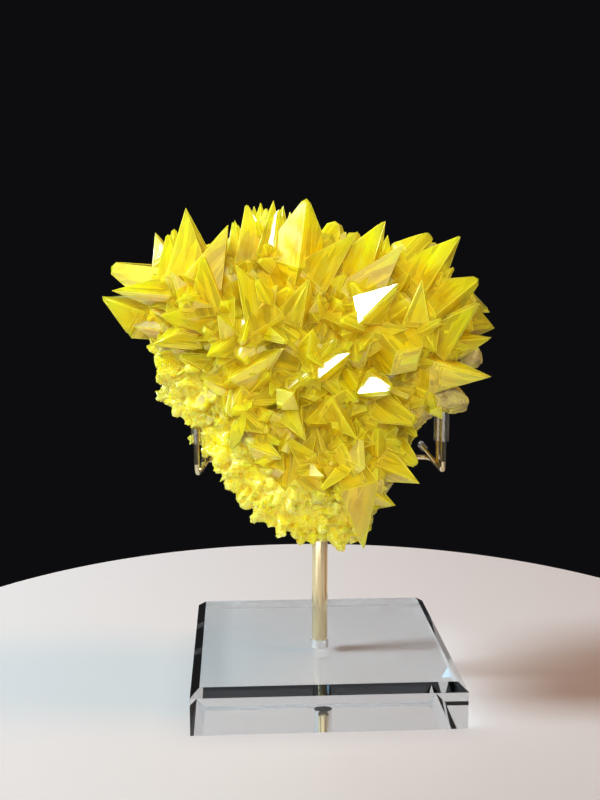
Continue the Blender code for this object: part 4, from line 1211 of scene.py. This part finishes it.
class SULFUR_OT_stage(bpy.types.Operator):
    """Set up the floor, the lights and the camera"""
    bl_idname = "sulfur.stage"
    bl_label = "Stage"

    def execute(self, context):
        s = context.scene.sulfur_stage
        scene = context.scene
        floor = add_floor(s)
        meshes = [piece for piece in scene.objects if piece.type == "MESH"]
        # Clear plastic lets light through, so only what isn't clear throws a shadow
        collect("solid", [piece for piece in meshes if piece.name not in (BASE, *CLEAR_VINYL)])
        # The front light spares the floor, so that the shadows on it stay
        subject = collect("subject", [piece for piece in meshes if piece != floor])
        add_lamp("key_left", KEY, s.key)
        fill = add_lamp("fill_front", FILL, s.fill, mirrored=False)
        add_lamp("warm_right", WARM, s.warm, mirrored=False)
        add_lamp("soft_behind", BACK, s.back, mirrored=False)
        fill.light_linking.receiver_collection = subject
        # A broad panel for the highlights of the base, the post and the sleeves alone
        glow = add_lamp("stand_glow", GLOW, s.glow)
        glow.light_linking.receiver_collection = collect(
            "stand_only", [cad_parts[name] for name in (BASE, POST, *CLEAR_VINYL)])
        for number, (form, power) in enumerate(SHEENS):
            sheen = add_lamp(f"sheen_{number}", form, power)
            sheen.visible_diffuse = False
            sheen.light_linking.receiver_collection = subject
        # The studio's soft light reaches everything, and the backdrop itself stays dark
        world = bpy.data.worlds.new("studio")
        world.use_nodes = True
        tree = world.node_tree
        seen = add(tree, "ShaderNodeLightPath").outputs["Is Camera Ray"]
        tone = add(tree, "ShaderNodeMix", {0: seen, 6: s.ambient, 7: s.backdrop}, data_type="RGBA")
        tree.links.new(tone.outputs[2], tree.nodes["Background"].inputs["Color"])
        scene.world = world
        scene.view_settings.view_transform = "Standard"
        scene.camera = add_camera()
        return {"FINISHED"}


OPERATORS = (SULFUR_OT_cluster, SULFUR_OT_edges, SULFUR_OT_grains, SULFUR_OT_stand,
             SULFUR_OT_stage)


class SULFUR_PT_steps(bpy.types.Panel):
    """Lists the steps that dress the cluster"""
    bl_idname = "SULFUR_PT_steps"
    bl_label = "Sulfur Cluster"
    bl_space_type = "VIEW_3D"
    bl_region_type = "UI"
    bl_category = "Sulfur"

    def draw(self, context):
        for operator in OPERATORS:
            self.layout.operator(operator.bl_idname)
        for group in (context.scene.sulfur_mineral, context.scene.sulfur_stand,
                      context.scene.sulfur_stage):
            box = self.layout.box()
            for name in group.__annotations__:
                box.prop(group, name)


CLASSES = (SulfurSettings, StandSettings, StageSettings, *OPERATORS, SULFUR_PT_steps)


def register():
    """Make the classes and their settings known."""
    for item in CLASSES:
        bpy.utils.register_class(item)
    bpy.types.Scene.sulfur_mineral = PointerProperty(type=SulfurSettings)
    bpy.types.Scene.sulfur_stand = PointerProperty(type=StandSettings)
    bpy.types.Scene.sulfur_stage = PointerProperty(type=StageSettings)


def unregister():
    """Take out what register put in."""
    del bpy.types.Scene.sulfur_stage
    del bpy.types.Scene.sulfur_stand
    del bpy.types.Scene.sulfur_mineral
    for item in reversed(CLASSES):
        bpy.utils.unregister_class(item)


def main():
    """Dress the cluster and its stand."""
    register()
    bpy.ops.sulfur.cluster()
    bpy.ops.sulfur.edges()
    bpy.ops.sulfur.grains()
    bpy.ops.sulfur.stand()
    bpy.ops.sulfur.stage()
    sizes = {name: [list(map(float, corner)) for corner in box]
             for name, box in (("cad", CAD_BOX), ("visual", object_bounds()))}


if __name__ == "__main__":
    main()
